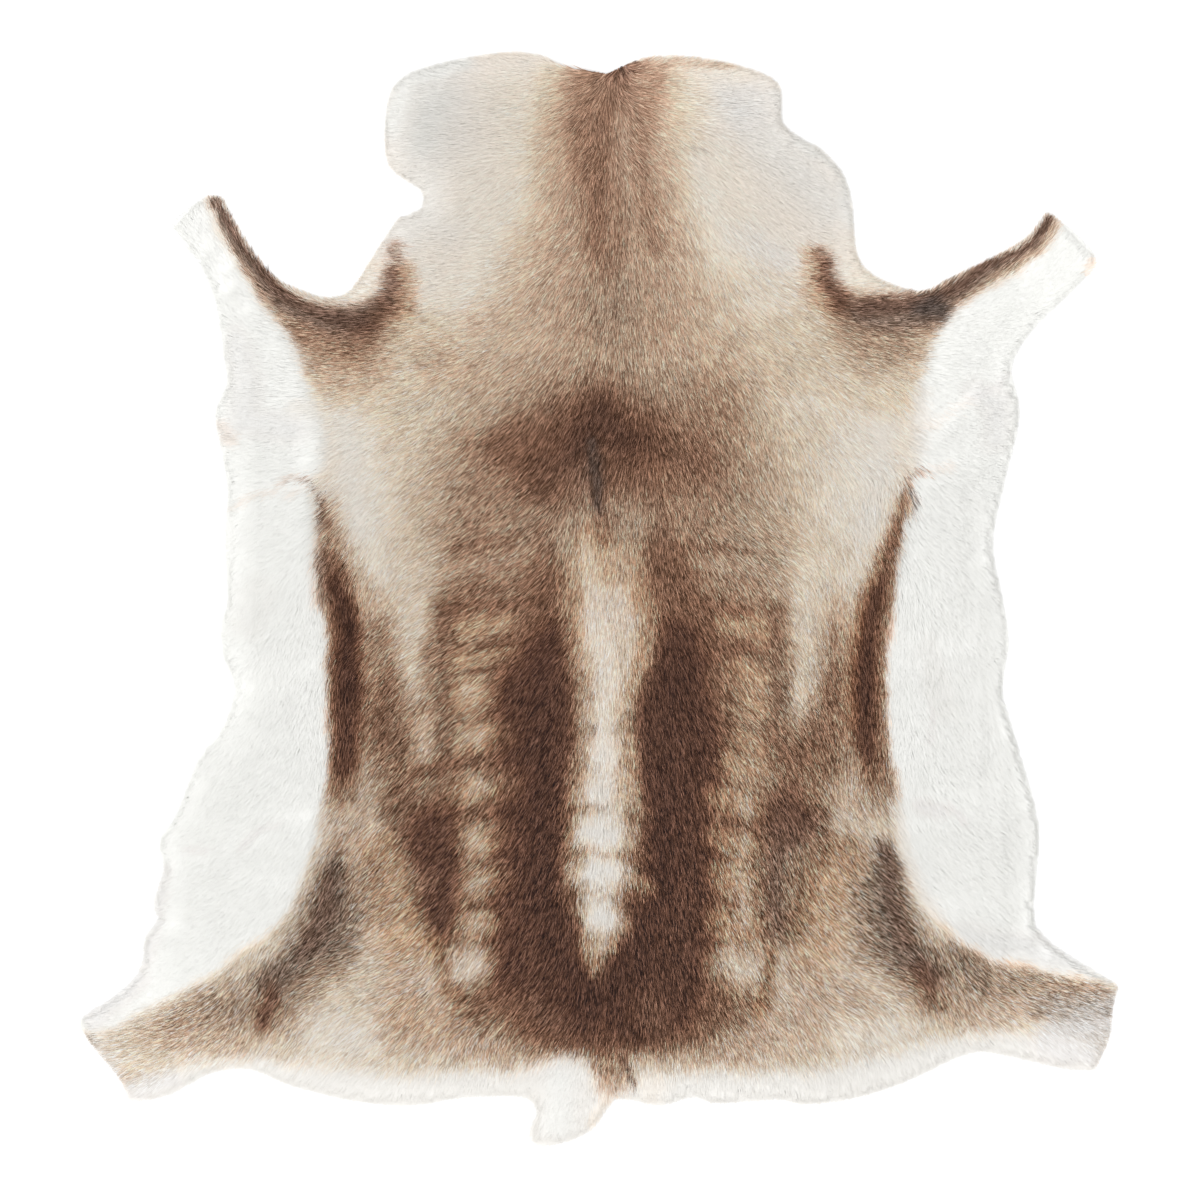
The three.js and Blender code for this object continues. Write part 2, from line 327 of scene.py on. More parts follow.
def paintBack():
    # between the stripes and the pale columns
    strokes("tan", 0.7, 0.9, ((374, 596, 10), (380, 630, 18)), ((832, 600, 12), (836, 625, 16)))
    strokes("hazel", 0.8, 0.9, ((382, 636, 16), (384, 690, 22), (386, 735, 30), (388, 765, 30)),
            ((834, 640, 16), (834, 690, 20), (830, 730, 26), (812, 762, 34)))
    strokes("brown", 0.7, 0.9, ((390, 680, 12), (396, 720, 20), (400, 750, 16)),
            ((408, 782, 18), (404, 806, 22), (424, 838, 24)),
            ((836, 680, 14), (830, 725, 20), (806, 742, 22), (780, 748, 20)),
            ((790, 775, 26), (790, 805, 30)))
    # the ground of the ribs
    brush("hazel", 0.75, 0.9, (470, 566, 20), (522, 562, 16))
    strokes("hazel", 0.85, 0.8, ((474, 612, 26), (478, 640, 30), (480, 720, 28), (478, 800, 30),
            (474, 900, 26), (468, 985, 18)),
            ((735, 612, 26), (738, 700, 28), (738, 800, 28), (738, 900, 24), (740, 975, 20)))
    brush("brown", 0.7, 0.9, (536, 606, 16), (524, 660, 18), (510, 720, 16), (508, 800, 18),
          (510, 880, 16), (508, 960, 14))
    brush("brown", 0.75, 0.9, (704, 620, 14), (712, 650, 20), (712, 720, 20), (708, 800, 18),
          (710, 880, 12), (708, 950, 14))
    # the pale columns and the dark ones beside them
    brush("sand", 0.75, 0.9, (414, 556, 24), (416, 620, 20), (417, 665, 15), (419, 690, 11))
    brush("tan", 0.5, 0.9, (419, 690, 12), (428, 735, 13), (431, 752, 9))
    brush("sand", 0.8, 0.9, (816, 556, 28), (806, 600, 22), (803, 650, 17), (800, 690, 14),
          (790, 712, 10))
    strokes("cream", 0.3, 0.9, ((408, 575, 14), (414, 630, 12)), ((812, 570, 18), (804, 630, 12)))
    strokes("brown", 0.75, 0.9,
            ((448, 612, 11), (446, 645, 13), (444, 700, 13), (448, 740, 12), (444, 800, 14)),
            ((774, 612, 11), (776, 660, 12), (778, 712, 13), (770, 735, 9)))
    brush("hazel", 0.6, 0.9, (430, 650, 7), (430, 700, 9), (412, 715, 7))
    # light marks along the ribs, and dark lines between them
    strokes("brown", 0.5, 0.9, ((452, 592, 3), (500, 588, 5), (556, 580, 7)),
            ((450, 548, 3), (490, 540, 4), (540, 530, 5)),
            ((662, 574, 7), (705, 572, 5), (762, 582, 3)),
            ((668, 545, 5), (710, 545, 4), (750, 552, 3)))
    strokes("tan", 0.55, 0.9, ((450, 570, 8), (485, 564, 11), (520, 556, 8)),
            ((700, 562, 9), (735, 572, 13), (765, 580, 11)))
    brush("tan", 0.4, 0.9, (424, 790, 8), (450, 785, 11))
    strokes("fawn", 0.75, 0.9, ((466, 629, 8), (488, 624, 8), (510, 620, 5)),
            ((464, 660, 9), (484, 653, 9), (506, 645, 5)),
            ((466, 696, 14), (477, 692, 14), (486, 690, 9)),
            ((468, 740, 12), (480, 735, 12), (492, 732, 7)),
            ((462, 790, 8), (476, 789, 9), (496, 789, 6)),
            ((468, 842, 12), (480, 842, 12), (490, 842, 7)),
            ((470, 880, 13), (482, 878, 13), (494, 874, 7)),
            ((470, 921, 13), (480, 920, 13), (488, 920, 7)),
            ((724, 621, 6), (742, 624, 10), (758, 629, 9)),
            ((732, 664, 6), (748, 670, 9), (757, 676, 8)),
            ((744, 694, 7), (752, 702, 10), (757, 706, 8)), ((740, 736, 8), (751, 742, 9)),
            ((728, 756, 7), (744, 764, 11), (754, 768, 8)),
            ((710, 788, 9), (732, 797, 14), (748, 803, 10)),
            ((711, 834, 8), (732, 840, 14), (748, 843, 12)),
            ((714, 870, 9), (734, 878, 15), (748, 881, 13)),
            ((716, 916, 9), (735, 920, 15), (748, 921, 13)))
    strokes("sand", 0.42, 0.9, ((468, 694, 8), (477, 692, 8)), ((468, 738, 7), (480, 734, 7)),
            ((474, 786, 6), (486, 785, 5)), ((468, 842, 8), (480, 841, 7)),
            ((468, 882, 8), (482, 880, 7)), ((468, 921, 7), (480, 920, 6)),
            ((742, 800, 6), (744, 842, 7)), ((744, 880, 7), (744, 918, 7)))
    strokes("sand", 0.9, 0.8, ((462, 967, 14), (472, 966, 17), (481, 966, 11)),
            ((726, 962, 12), (740, 965, 18), (750, 968, 13)))
    brush("cream", 0.3, 0.9, (468, 964, 13), (476, 962, 13))
    strokes("brown", 0.88, 0.9, ((446, 608, 4), (482, 606, 5), (545, 603, 8)),
            ((478, 646, 3), (505, 641, 6), (540, 632, 9)),
            ((470, 673, 3), (495, 668, 5), (520, 660, 8)),
            ((478, 718, 3), (495, 714, 6), (515, 706, 8)),
            ((424, 769, 7), (450, 765, 8), (482, 758, 8), (512, 746, 10)),
            ((458, 812, 7), (482, 809, 9), (508, 800, 11)),
            ((482, 861, 3), (500, 856, 7), (515, 850, 9)),
            ((470, 903, 3), (488, 900, 6), (507, 894, 9)), ((478, 942, 3), (495, 938, 7)),
            ((680, 602, 7), (700, 604, 6), (726, 607, 5), (754, 612, 3)),
            ((690, 638, 11), (726, 646, 8), (758, 650, 5)), ((700, 684, 7), (718, 692, 3)),
            ((700, 722, 8), (714, 730, 3)), ((704, 768, 8), (724, 777, 4)),
            ((702, 812, 10), (730, 819, 8), (752, 822, 5)), ((700, 850, 9), (722, 857, 5)),
            ((702, 893, 10), (722, 899, 6), (738, 902, 3)), ((702, 936, 10), (722, 941, 5)))
    # the two dark bands beside the spine
    fill("brown", 0.85, 18, (528, 610), (542, 560), (558, 560), (566, 610), (576, 640), (580, 690),
         (578, 745), (570, 800), (568, 860), (576, 892), (582, 935), (604, 985), (604, 1056),
         (556, 1050), (524, 1040), (494, 1018), (484, 992), (494, 950), (498, 900), (500, 850),
         (500, 800), (502, 740), (496, 700), (504, 660), (514, 640))
    fill("umber", 0.9, 10, (544, 622), (552, 616), (560, 624), (568, 648), (575, 690), (573, 745),
         (567, 800), (563, 845), (560, 866), (570, 888), (578, 920), (578, 940), (592, 975), (604, 985),
         (604, 1050), (560, 1045), (532, 1034), (512, 1022), (498, 1008), (492, 990), (500, 966),
         (504, 950), (494, 936), (504, 920), (498, 906), (494, 898), (510, 888), (516, 872), (508, 860),
         (498, 852), (508, 838), (508, 824), (492, 812), (502, 802), (520, 790), (520, 775), (498, 762),
         (502, 750), (520, 738), (508, 722), (498, 708), (504, 690), (504, 672), (520, 656), (520, 644),
         (532, 634))
    fill("brown", 0.85, 18, (646, 540), (684, 556), (706, 600), (712, 640), (712, 700), (712, 800),
         (714, 900), (712, 960), (732, 990), (726, 1012), (694, 1036), (604, 1056), (604, 985),
         (614, 950), (626, 925), (618, 898), (630, 878), (632, 852), (636, 828), (634, 802), (636, 780),
         (632, 730), (634, 700), (640, 672), (652, 650), (660, 622), (648, 595))
    fill("umber", 0.9, 10, (662, 618), (680, 616), (692, 622), (700, 630), (700, 640), (704, 650),
         (714, 658), (706, 668), (706, 684), (714, 700), (712, 712), (718, 730), (716, 752), (710, 762),
         (724, 776), (706, 786), (700, 800), (712, 816), (702, 830), (702, 842), (714, 854), (704, 866),
         (706, 882), (716, 896), (706, 910), (704, 926), (714, 938), (704, 950), (702, 972), (712, 990),
         (708, 1010), (688, 1032), (656, 1046), (604, 1050), (604, 985), (606, 965), (618, 945),
         (634, 930), (636, 912), (624, 898), (634, 886), (648, 878), (640, 862), (634, 852), (648, 838),
         (642, 820), (646, 800), (638, 780), (637, 745), (638, 700), (645, 672), (656, 650), (664, 630))
    brush("umber", 0.6, 0.9, (496, 996, 8), (512, 1006, 12), (530, 1018, 12))
    brush("bark", 0.5, 0.9, (600, 995, 24), (632, 960, 18), (660, 880, 14), (664, 780, 16))
    brush("bark", 0.45, 0.9, (596, 1000, 20), (548, 930, 14), (540, 810, 14), (540, 730, 14),
          (545, 660, 12))
    brush("bark", 0.35, 0.9, (668, 720, 14), (674, 670, 12))
    strokes("hazel", 0.3, 0.9, ((530, 1000, 14), (560, 1028, 12)), ((650, 1010, 16), (662, 1034, 12)))
    # below the ribs
    fill("hazel", 0.85, 18, (450, 990), (488, 986), (512, 1020), (548, 1042), (516, 1048), (476, 1040),
         (448, 1022))
    brush("brown", 0.75, 0.9, (456, 990, 7), (464, 1006, 9), (478, 1002, 12), (504, 1002, 16),
          (526, 1020, 12))
    brush("tan", 0.65, 0.9, (484, 1052, 8), (520, 1060, 8), (560, 1066, 6))
    fill("brown", 0.8, 16, (700, 986), (756, 990), (766, 1008), (742, 1030), (700, 1046), (664, 1052),
         (690, 1020))
    brush("tan", 0.7, 0.9, (760, 1030, 12), (730, 1052, 9), (690, 1062, 6))
    # dark patches on the loins
    fill("brown", 0.65, 18, (390, 806), (398, 784), (422, 778), (456, 790), (459, 905), (453, 946),
         (440, 956), (426, 926), (412, 900), (404, 862), (394, 838))
    fill("umber", 0.85, 12, (414, 816), (428, 806), (456, 808), (460, 850), (461, 905), (453, 935),
         (442, 946), (432, 926), (420, 905), (424, 880), (416, 862), (412, 838))
    brush("hazel", 0.35, 0.9, (430, 880, 9), (438, 884, 6))
    strokes("brown", 0.6, 0.9, ((374, 690, 8), (376, 740, 12)), ((838, 742, 14), (834, 762, 14)))
    strokes("rust", 0.55, 0.9, ((388, 842, 8), (396, 870, 12), (408, 905, 11), (424, 940, 9)),
            ((830, 850, 10), (814, 872, 15), (808, 895, 13), (798, 925, 10)))
    strokes("rust", 0.6, 0.9, ((436, 944, 8), (439, 972, 6), (448, 992, 6), (455, 1008, 5)),
            ((768, 950, 6), (766, 975, 5), (762, 1000, 6), (756, 1016, 5)))
    strokes("brown", 0.4, 0.9, ((442, 960, 4), (450, 1000, 6)), ((767, 955, 5), (762, 1005, 7)))
    fill("umber", 0.7, 16, (760, 796), (790, 786), (806, 800), (822, 808), (824, 832), (806, 846),
         (790, 866), (790, 925), (776, 944), (760, 936), (760, 870), (757, 830))
    brush("brown", 0.6, 0.9, (822, 846, 12), (802, 872, 13), (799, 905, 12), (788, 936, 8))
    # the short dark mane on the withers
    brush("brown", 0.6, 0.9, (604, 460, 12), (604, 490, 9))
    brush("char", 0.6, 0.9, (594, 438, 4), (596, 460, 7), (599, 484, 6), (601, 516, 3))
    brush("brown", 0.7, 0.9, (601, 520, 6), (604, 540, 4))


def paintSpine():
    brush("fawn", 0.8, 0.9, (588, 530, 7), (590, 546, 16), (604, 570, 30), (607, 604, 30))
    fill("fawn", 0.5, 10, (580, 560), (576, 590), (577, 640), (585, 690), (584, 740), (578, 790),
         (578, 800), (628, 800), (624, 770), (626, 705), (632, 672), (644, 645), (652, 620), (642, 595),
         (638, 560))
    brush("sand", 0.75, 0.8, (586, 540, 6), (588, 556, 10), (592, 580, 13))
    fill("cream", 0.72, 8, (587, 582), (583, 600), (583, 640), (590, 668), (594, 690), (592, 720),
         (589, 745), (589, 770), (588, 790), (588, 797), (594, 804), (610, 804), (616, 798), (616, 785),
         (616, 770), (618, 750), (617, 732), (620, 700), (623, 680), (630, 660), (638, 640), (640, 620),
         (632, 605), (628, 588), (618, 582))
    brush("sand", 0.5, 0.9, (616, 560, 12), (622, 586, 10))
    brush("fawn", 0.5, 0.9, (640, 640, 8), (638, 664, 7), (632, 690, 5))
    strokes("fawn", 0.45, 0.9, ((627, 735, 4), (632, 792, 6)), ((575, 788, 4), (571, 798, 4)))
    # the pale lobes at its lower end
    brush("cream", 0.9, 0.45, (601, 796, 12), (602, 815, 11), (602, 850, 11), (602, 895, 10))
    brush("brown", 0.7, 0.8, (646, 812, 8), (628, 812, 5))
    fill("cream", 0.9, 6, (596, 814), (584, 819), (576, 826), (577, 835), (586, 839), (596, 845),
         (608, 845), (616, 839), (622, 832), (618, 823), (610, 815))
    brush("fawn", 0.6, 0.8, (572, 826, 5), (569, 838, 4))
    brush("tan", 0.6, 0.8, (626, 824, 5), (634, 836, 5))
    fill("cream", 0.9, 5, (594, 857), (586, 862), (580, 870), (575, 877), (586, 878), (594, 883),
         (610, 883), (617, 876), (624, 871), (618, 863), (610, 857))
    brush("tan", 0.6, 0.8, (574, 872, 4), (564, 878, 3))
    fill("cream", 0.9, 5, (594, 900), (590, 908), (587, 915), (585, 922), (595, 926), (602, 932),
         (611, 930), (624, 923), (617, 912), (611, 904), (609, 900))
    brush("fawn", 0.6, 0.8, (620, 922, 4), (630, 925, 3))
    brush("ivory", 0.25, 0.8, (594, 612, 8), (600, 650, 10), (606, 700, 9), (602, 745, 11),
          (600, 790, 12))
    strokes("sand", 0.6, 0.9, ((628, 640, 8), (618, 664, 5)), ((588, 716, 5), (596, 722, 3)),
            ((616, 700, 5), (612, 716, 4)), ((590, 770, 5), (598, 774, 3)),
            ((590, 650, 4), (596, 664, 3)))
    strokes("milk", 0.6, 0.8, ((600, 746, 10), (604, 752, 10)), ((598, 788, 10), (603, 786, 10)))
    strokes("milk", 0.9, 0.75, ((582, 829, 5), (599, 830, 11), (611, 832, 8)),
            ((587, 871, 5), (599, 868, 11), (610, 867, 8)),
            ((593, 917, 6), (601, 915, 11), (611, 921, 6)))
    # dark notches in its edges
    strokes("brown", 0.8, 0.8, ((562, 807, 6), (576, 808, 5), (590, 808, 2)),
            ((562, 850, 7), (575, 850, 6), (586, 850, 3)),
            ((642, 852, 8), (630, 852, 6), (619, 852, 3)), ((568, 893, 8), (580, 891, 5)),
            ((642, 893, 9), (628, 892, 5)))
    strokes("fawn", 0.5, 0.9, ((590, 808, 3), (604, 808, 2)), ((590, 850, 3), (614, 850, 3)),
            ((592, 892, 3), (610, 892, 3)), ((634, 880, 5), (650, 885, 5)))
    strokes("hazel", 0.6, 0.8, ((634, 762, 7), (622, 760, 4)), ((632, 724, 7), (620, 722, 3)),
            ((574, 766, 7), (587, 765, 4)), ((576, 728, 6), (588, 728, 3)))
    strokes("smoke", 0.6, 0.8, ((621, 741, 3), (626, 741, 2)), ((600, 812, 1.6), (607, 804, 2)))
    strokes("umber", 0.6, 0.8, ((584, 699, 1.6), (593, 695, 1.6)), ((596, 726, 2), (594, 733, 1.8)))
    # the last pale tufts
    strokes("fawn", 0.85, 0.8, ((592, 944, 6), (589, 951, 5)), ((611, 940, 5), (615, 947, 4)),
            ((598, 956, 3), (595, 965, 4), (592, 970, 2.5)))
    brush("sand", 0.7, 0.8, (590, 946, 3.5))
    for place in [(618, 562), (612, 616), (616, 634), (622, 644), (640, 624)]:
        brush("smoke", 0.4, 0.8, (*place, 1.5), (place[0] + 2, place[1] + 8, 1.1))


def paintHaunches():
    # left
    brush("fawn", 0.9, 0.9, (372, 846, 14), (382, 876, 18), (390, 912, 22), (404, 950, 22))
    brush("tan", 0.85, 0.9, (346, 798, 16), (352, 826, 18))
    brush("hazel", 0.5, 0.9, (372, 862, 16), (372, 900, 18))
    brush("cream", 0.9, 0.9, (326, 1036, 26), (360, 1040, 22))
    brush("tan", 0.8, 0.9, (405, 985, 26), (430, 1012, 26), (400, 1030, 16), (490, 1050, 8))
    brush("fawn", 0.5, 0.9, (400, 1010, 18), (440, 1030, 16))
    brush("taupe", 0.8, 0.8, (346, 880, 20), (345, 930, 20), (336, 962, 20))
    brush("taupe", 0.9, 0.8, (296, 986, 22), (278, 1006, 24), (250, 1006, 26), (206, 1012, 20),
          (170, 1022, 13))
    brush("tan", 0.8, 0.8, (240, 1040, 12), (190, 1040, 14), (150, 1040, 12))
    brush("sand", 0.85, 0.8, (160, 1058, 12), (120, 1044, 14), (140, 1070, 10))
    brush("mist", 0.7, 0.9, (96, 1056, 12), (112, 1078, 12))
    brush("hazel", 0.5, 0.9, (338, 846, 10), (346, 866, 10))
    brush("smoke", 0.85, 0.8, (335, 862, 10), (335, 884, 17), (328, 915, 23), (320, 944, 24),
          (296, 966, 19), (266, 982, 13))
    brush("taupe", 0.5, 0.9, (330, 970, 14), (308, 984, 12))
    brush("smoke", 0.3, 0.9, (352, 925, 12), (340, 955, 14))
    brush("umber", 0.4, 0.8, (328, 880, 8), (322, 915, 12), (306, 945, 10))
    brush("brown", 0.7, 0.9, (272, 984, 7), (270, 1004, 13), (264, 1026, 9))
    brush("umber", 0.6, 0.8, (276, 994, 7), (269, 1008, 7), (264, 1024, 5))
    brush("ash", 0.6, 0.8, (90, 1034, 4), (98, 1044, 4))
    brush("fawn", 0.4, 0.9, (128, 1076, 6))
    # right
    brush("fawn", 0.9, 0.9, (850, 846, 12), (838, 882, 20), (826, 925, 23), (806, 960, 18))
    brush("tan", 0.85, 0.9, (850, 800, 14), (880, 804, 10))
    brush("cream", 0.7, 0.9, (850, 1040, 18), (900, 1030, 18))
    brush("tan", 0.8, 0.9, (806, 985, 26), (800, 1022, 24), (764, 1034, 20), (720, 1056, 9))
    brush("tan", 0.6, 0.9, (840, 985, 20), (862, 1006, 16))
    brush("hazel", 0.5, 0.9, (848, 842, 12), (862, 862, 12))
    brush("taupe", 0.8, 0.8, (862, 885, 12), (862, 925, 14), (866, 955, 16))
    brush("taupe", 0.9, 0.8, (920, 970, 30), (960, 982, 26), (1000, 986, 16), (1040, 988, 11),
          (1076, 990, 7))
    brush("taupe", 0.6, 0.8, (960, 952, 10), (1000, 968, 9), (1050, 979, 8), (1090, 985, 5))
    brush("smoke", 0.3, 0.9, (945, 948, 10), (968, 966, 14), (980, 982, 10))
    brush("tan", 0.75, 0.8, (960, 1014, 14), (1000, 1008, 12), (1050, 1000, 12), (1096, 992, 8))
    brush("mist", 0.8, 0.8, (1050, 1030, 14), (1100, 1020, 18), (1112, 1000, 10))
    brush("smoke", 0.85, 0.8, (880, 844, 8), (882, 874, 14), (884, 905, 19), (892, 935, 22),
          (906, 956, 22), (926, 972, 15))
    brush("umber", 0.4, 0.8, (884, 850, 6), (888, 885, 8), (902, 935, 10))
    brush("brown", 0.65, 0.9, (916, 976, 12), (922, 992, 11), (938, 1002, 9))
    brush("umber", 0.5, 0.8, (916, 962, 7), (926, 980, 7))
    brush("hazel", 0.5, 0.8, (1106, 986, 3), (1096, 989, 3))
    # the rump and the tuft over the tail
    brush("brown", 0.5, 0.8, (540, 1032, 10), (575, 1044, 9), (640, 1048, 9), (690, 1036, 12))


def paintRim():
    # the pale hair along the rump
    fillBelly("milk", 9, (112, 1088), (150, 1084), (194, 1064), (250, 1056), (292, 1060), (340, 1066),
              (385, 1071), (460, 1071), (520, 1066), (540, 1060), (566, 1056), (592, 1062), (594, 1084),
              (634, 1086), (642, 1070), (700, 1070), (760, 1070), (835, 1064), (880, 1053), (917, 1044),
              (950, 1036), (1005, 1030), (1043, 1032), (1075, 1038), (1090, 1046), (1115, 1090),
              (900, 1120), (600, 1170), (480, 1160), (110, 1130))
    brush("ivory", 0.6, 0.8, (655, 1078, 12), (650, 1090, 10))
    brush("white", 0.7, 0.8, (560, 1080, 20), (560, 1120, 20))
    brush("cream", 0.6, 0.7, (613, 1092, 5), (596, 1112, 4), (590, 1126, 3))
    brush("tan", 0.9, 0.7, (600, 1064, 9), (612, 1076, 15))
    brush("hazel", 0.7, 0.8, (598, 1066, 5), (616, 1066, 8))
    brush("umber", 0.7, 0.7, (626, 1058, 4), (629, 1072, 3), (632, 1084, 2))
    brush("mist", 0.6, 0.8, (140, 1088, 12), (180, 1078, 6))
    brush("ash", 0.6, 0.8, (1040, 1004, 12), (1070, 1006, 13), (1100, 1006, 13))
    brush("mist", 0.6, 0.8, (1040, 1042, 12), (1064, 1050, 14), (1094, 1052, 12))


def paintBelly():
    fillBelly("white", 5, (150, 170), (204, 190), (207, 208), (221, 240), (238, 268), (258, 298),
              (278, 324), (300, 350), (312, 385), (322, 412), (330, 440), (327, 470), (313, 486),
              (316, 510), (316, 545), (318, 582), (320, 606), (325, 622), (326, 700), (326, 760),
              (319, 800), (318, 838), (306, 868), (292, 906), (275, 928), (246, 943), (226, 963),
              (194, 983), (161, 1000), (131, 1017), (107, 1030), (60, 1030), (60, 960), (140, 700),
              (190, 400), (150, 240))
    fillBelly("white", 5, (1130, 190), (1060, 222), (1048, 250), (1026, 268), (1003, 284), (978, 298),
              (956, 310), (938, 326), (928, 345), (918, 375), (911, 400), (910, 430), (912, 462),
              (905, 480), (908, 512), (902, 545), (897, 590), (887, 620), (886, 670), (890, 740),
              (896, 768), (897, 790), (892, 815), (896, 845), (906, 877), (918, 900), (930, 914),
              (948, 926), (966, 941), (988, 955), (1014, 961), (1045, 970), (1072, 976), (1120, 982),
              (1120, 900), (1080, 700), (1060, 400))
    # painted shade: warmer, darker ivory along the folds
    brush("ivory", 0.5, 0.8, (328, 420, 6), (330, 450, 8), (330, 470, 6))
    brush("ivory", 0.6, 0.8, (918, 390, 8), (912, 430, 10), (906, 465, 6))
    brush("ivory", 0.5, 0.8, (326, 640, 4), (328, 740, 4), (322, 820, 5))
    brush("ivory", 0.6, 0.8, (892, 800, 6), (900, 850, 6), (914, 890, 6), (936, 918, 6))
    brush("milk", 0.25, 0.9, (262, 590, 16), (254, 620, 14))
    brush("milk", 0.3, 0.9, (940, 700, 10), (925, 640, 8))
    brush("cream", 0.3, 0.9, (300, 408, 6), (340, 418, 8))
    # painted shade: the pale hair greyer along the outer edge and in the creases
    strokes("mist", 0.35, 0.9, ((240, 340, 10), (250, 380, 14), (250, 420, 12), (300, 430, 10)),
            ((970, 390, 10), (990, 400, 12), (990, 440, 10)))
    brush("mist", 0.5, 0.8, (170, 870, 6), (160, 920, 6), (150, 960, 6))
    brush("mist", 0.6, 0.8, (144, 976, 8), (124, 996, 9), (98, 1016, 9))
    brush("mist", 0.3, 0.9, (960, 930, 10), (1020, 945, 10), (1080, 966, 8))
    # thin grey lines of painted shade in the creases, and stray dark hairs
    brush("ash", 0.5, 0.8, (228, 424, 5), (234, 440, 7))
    brush("ash", 0.45, 0.8, (234, 509, 1.6), (254, 498, 2), (282, 492, 1.6))
    brush("smoke", 0.5, 0.8, (282, 486, 1.6), (297, 477, 2.4), (309, 478, 2.4))
    brush("ash", 0.4, 0.8, (292, 496, 2), (300, 492, 2))
    strokes("mist", 0.7, 0.8, ((284, 818, 1.5), (262, 826, 2), (249, 845, 2)),
            ((194, 847, 3), (212, 848, 2)))
    brush("ash", 0.4, 0.8, (915, 430, 2), (932, 419, 2.4), (946, 411, 2), (966, 395, 1.6))
    brush("mist", 0.6, 0.8, (966, 395, 2), (986, 385, 2), (1006, 372, 2))
    brush("ash", 0.45, 0.8, (904, 474, 2.5), (922, 471, 2), (945, 462, 3))
    brush("ash", 0.5, 0.8, (902, 642, 2), (900, 652, 2))
    brush("mist", 0.8, 0.8, (906, 694, 1.6), (904, 720, 2), (906, 750, 1.6))
    brush("mist", 0.7, 0.8, (932, 704, 1.5), (928, 738, 1.5))
    brush("mist", 0.8, 0.8, (944, 800, 1.6), (962, 820, 2))
    brush("mist", 0.6, 0.8, (918, 800, 6), (940, 806, 5))
    brush("tan", 0.5, 0.8, (1089, 264, 4), (1086, 272, 3))


def paintStripes():
    # the dark stripe down each flank, with its hooked upper end
    brush("tan", 0.6, 0.85, (334, 505, 6), (341, 540, 10), (350, 580, 15), (356, 640, 16),
          (356, 740, 16), (348, 790, 14))
    brush("hazel", 0.85, 0.8, (325, 502, 4), (329, 530, 8), (333, 560, 13), (341, 600, 17),
          (350, 660, 17), (349, 740, 18), (341, 790, 14))
    brush("brown", 0.8, 0.8, (332, 556, 9), (341, 596, 14), (350, 660, 15), (348, 735, 16),
          (342, 775, 13))
    brush("umber", 0.9, 0.8, (336, 580, 8), (346, 610, 10), (350, 660, 13), (349, 720, 13),
          (345, 765, 9))
    brush("bark", 0.5, 0.8, (348, 625, 7), (350, 690, 9))
    brush("smoke", 0.4, 0.9, (322, 550, 5), (324, 600, 5))
    brush("smoke", 0.6, 0.8, (309, 478, 2.4), (318, 488, 3), (324, 504, 3), (324, 522, 4))
    brush("tan", 0.7, 0.85, (899, 500, 4), (890, 540, 9), (876, 590, 14), (860, 640, 18),
          (856, 740, 20), (864, 782, 15))
    brush("hazel", 0.85, 0.8, (901, 498, 4), (897, 525, 7), (888, 560, 11), (877, 605, 15),
          (868, 650, 18), (869, 740, 20), (879, 784, 13))
    brush("brown", 0.8, 0.8, (898, 525, 4), (886, 565, 9), (873, 610, 12), (865, 660, 15),
          (866, 735, 14), (874, 768, 9))
    brush("umber", 0.8, 0.8, (882, 575, 4), (870, 615, 8), (864, 665, 11), (864, 730, 10),
          (868, 752, 6))
    brush("bark", 0.4, 0.8, (867, 640, 6), (864, 700, 7))
    brush("rust", 0.3, 0.9, (880, 550, 4), (864, 590, 5), (852, 650, 6), (848, 720, 7))
    brush("hazel", 0.8, 0.7, (900, 492, 3), (908, 477, 2), (922, 471, 1.6))
    brush("char", 0.75, 0.8, (907, 489, 2), (911, 502, 2.4), (908, 515, 2))
    # the pale hair meets the stripes at a firm edge
    fillBelly("white", 3, (306, 606), (322, 610), (326, 640), (327, 740), (325, 790), (319, 815),
              (306, 815))
    fillBelly("white", 3, (912, 506), (903, 520), (900, 560), (895, 600), (890, 650), (888, 700),
              (892, 745), (898, 785), (912, 790))


for paintPart in (paintBody, paintNeck, paintForelegs, paintBack, paintSpine, paintHaunches,
                  paintRim, paintBelly, paintStripes):
    paintPart()
print("coat coloured")

# The edges of the marks wander a little, and the coat is mottled.
mottling = {
    "wander": 3,  # steps of the chart either way
    "ripple": 2,
    "mottle": 0.035,  # shares of the colour
    "speckle": 0.035,
    "paleFrom": 190,  # paler hair is more even
    "paleRange": 40,
    "paleCalm": 0.8,
}
wander = noisePlan(cell=4, patch=30, seed=11, channels=2)
ripple = noisePlan(cell=2, patch=9, seed=12, channels=2)
mottle = noisePlan(cell=2, patch=14, seed=13)
speckle = noisePlan(cell=1, patch=4, seed=14)


def coatColour(across, down):
    shift = mottling["wander"] * readPlan(wander, across, down)
    shift = shift + mottling["ripple"] * readPlan(ripple, across, down)
    colour = readPlan(coat, across + shift[..., 0], down + shift[..., 1])
    brightness = colour.mean(-1, keepdims=True)
    paleness = np.clip((brightness - mottling["paleFrom"]) / mottling["paleRange"], 0, 1)
    variation = mottling["mottle"] * readPlan(mottle, across, down)
    variation = variation + mottling["speckle"] * readPlan(speckle, across, down)
    return np.clip(colour / 255 * (1 + variation * (1 - mottling["paleCalm"] * paleness)), 0, 1)


# from the values of a colour as it looks to the amounts of light that shaders use
def toLinear(colour):
    return np.where(colour < 0.04045, colour / 12.92, ((colour + 0.055) / 1.055) ** 2.4)


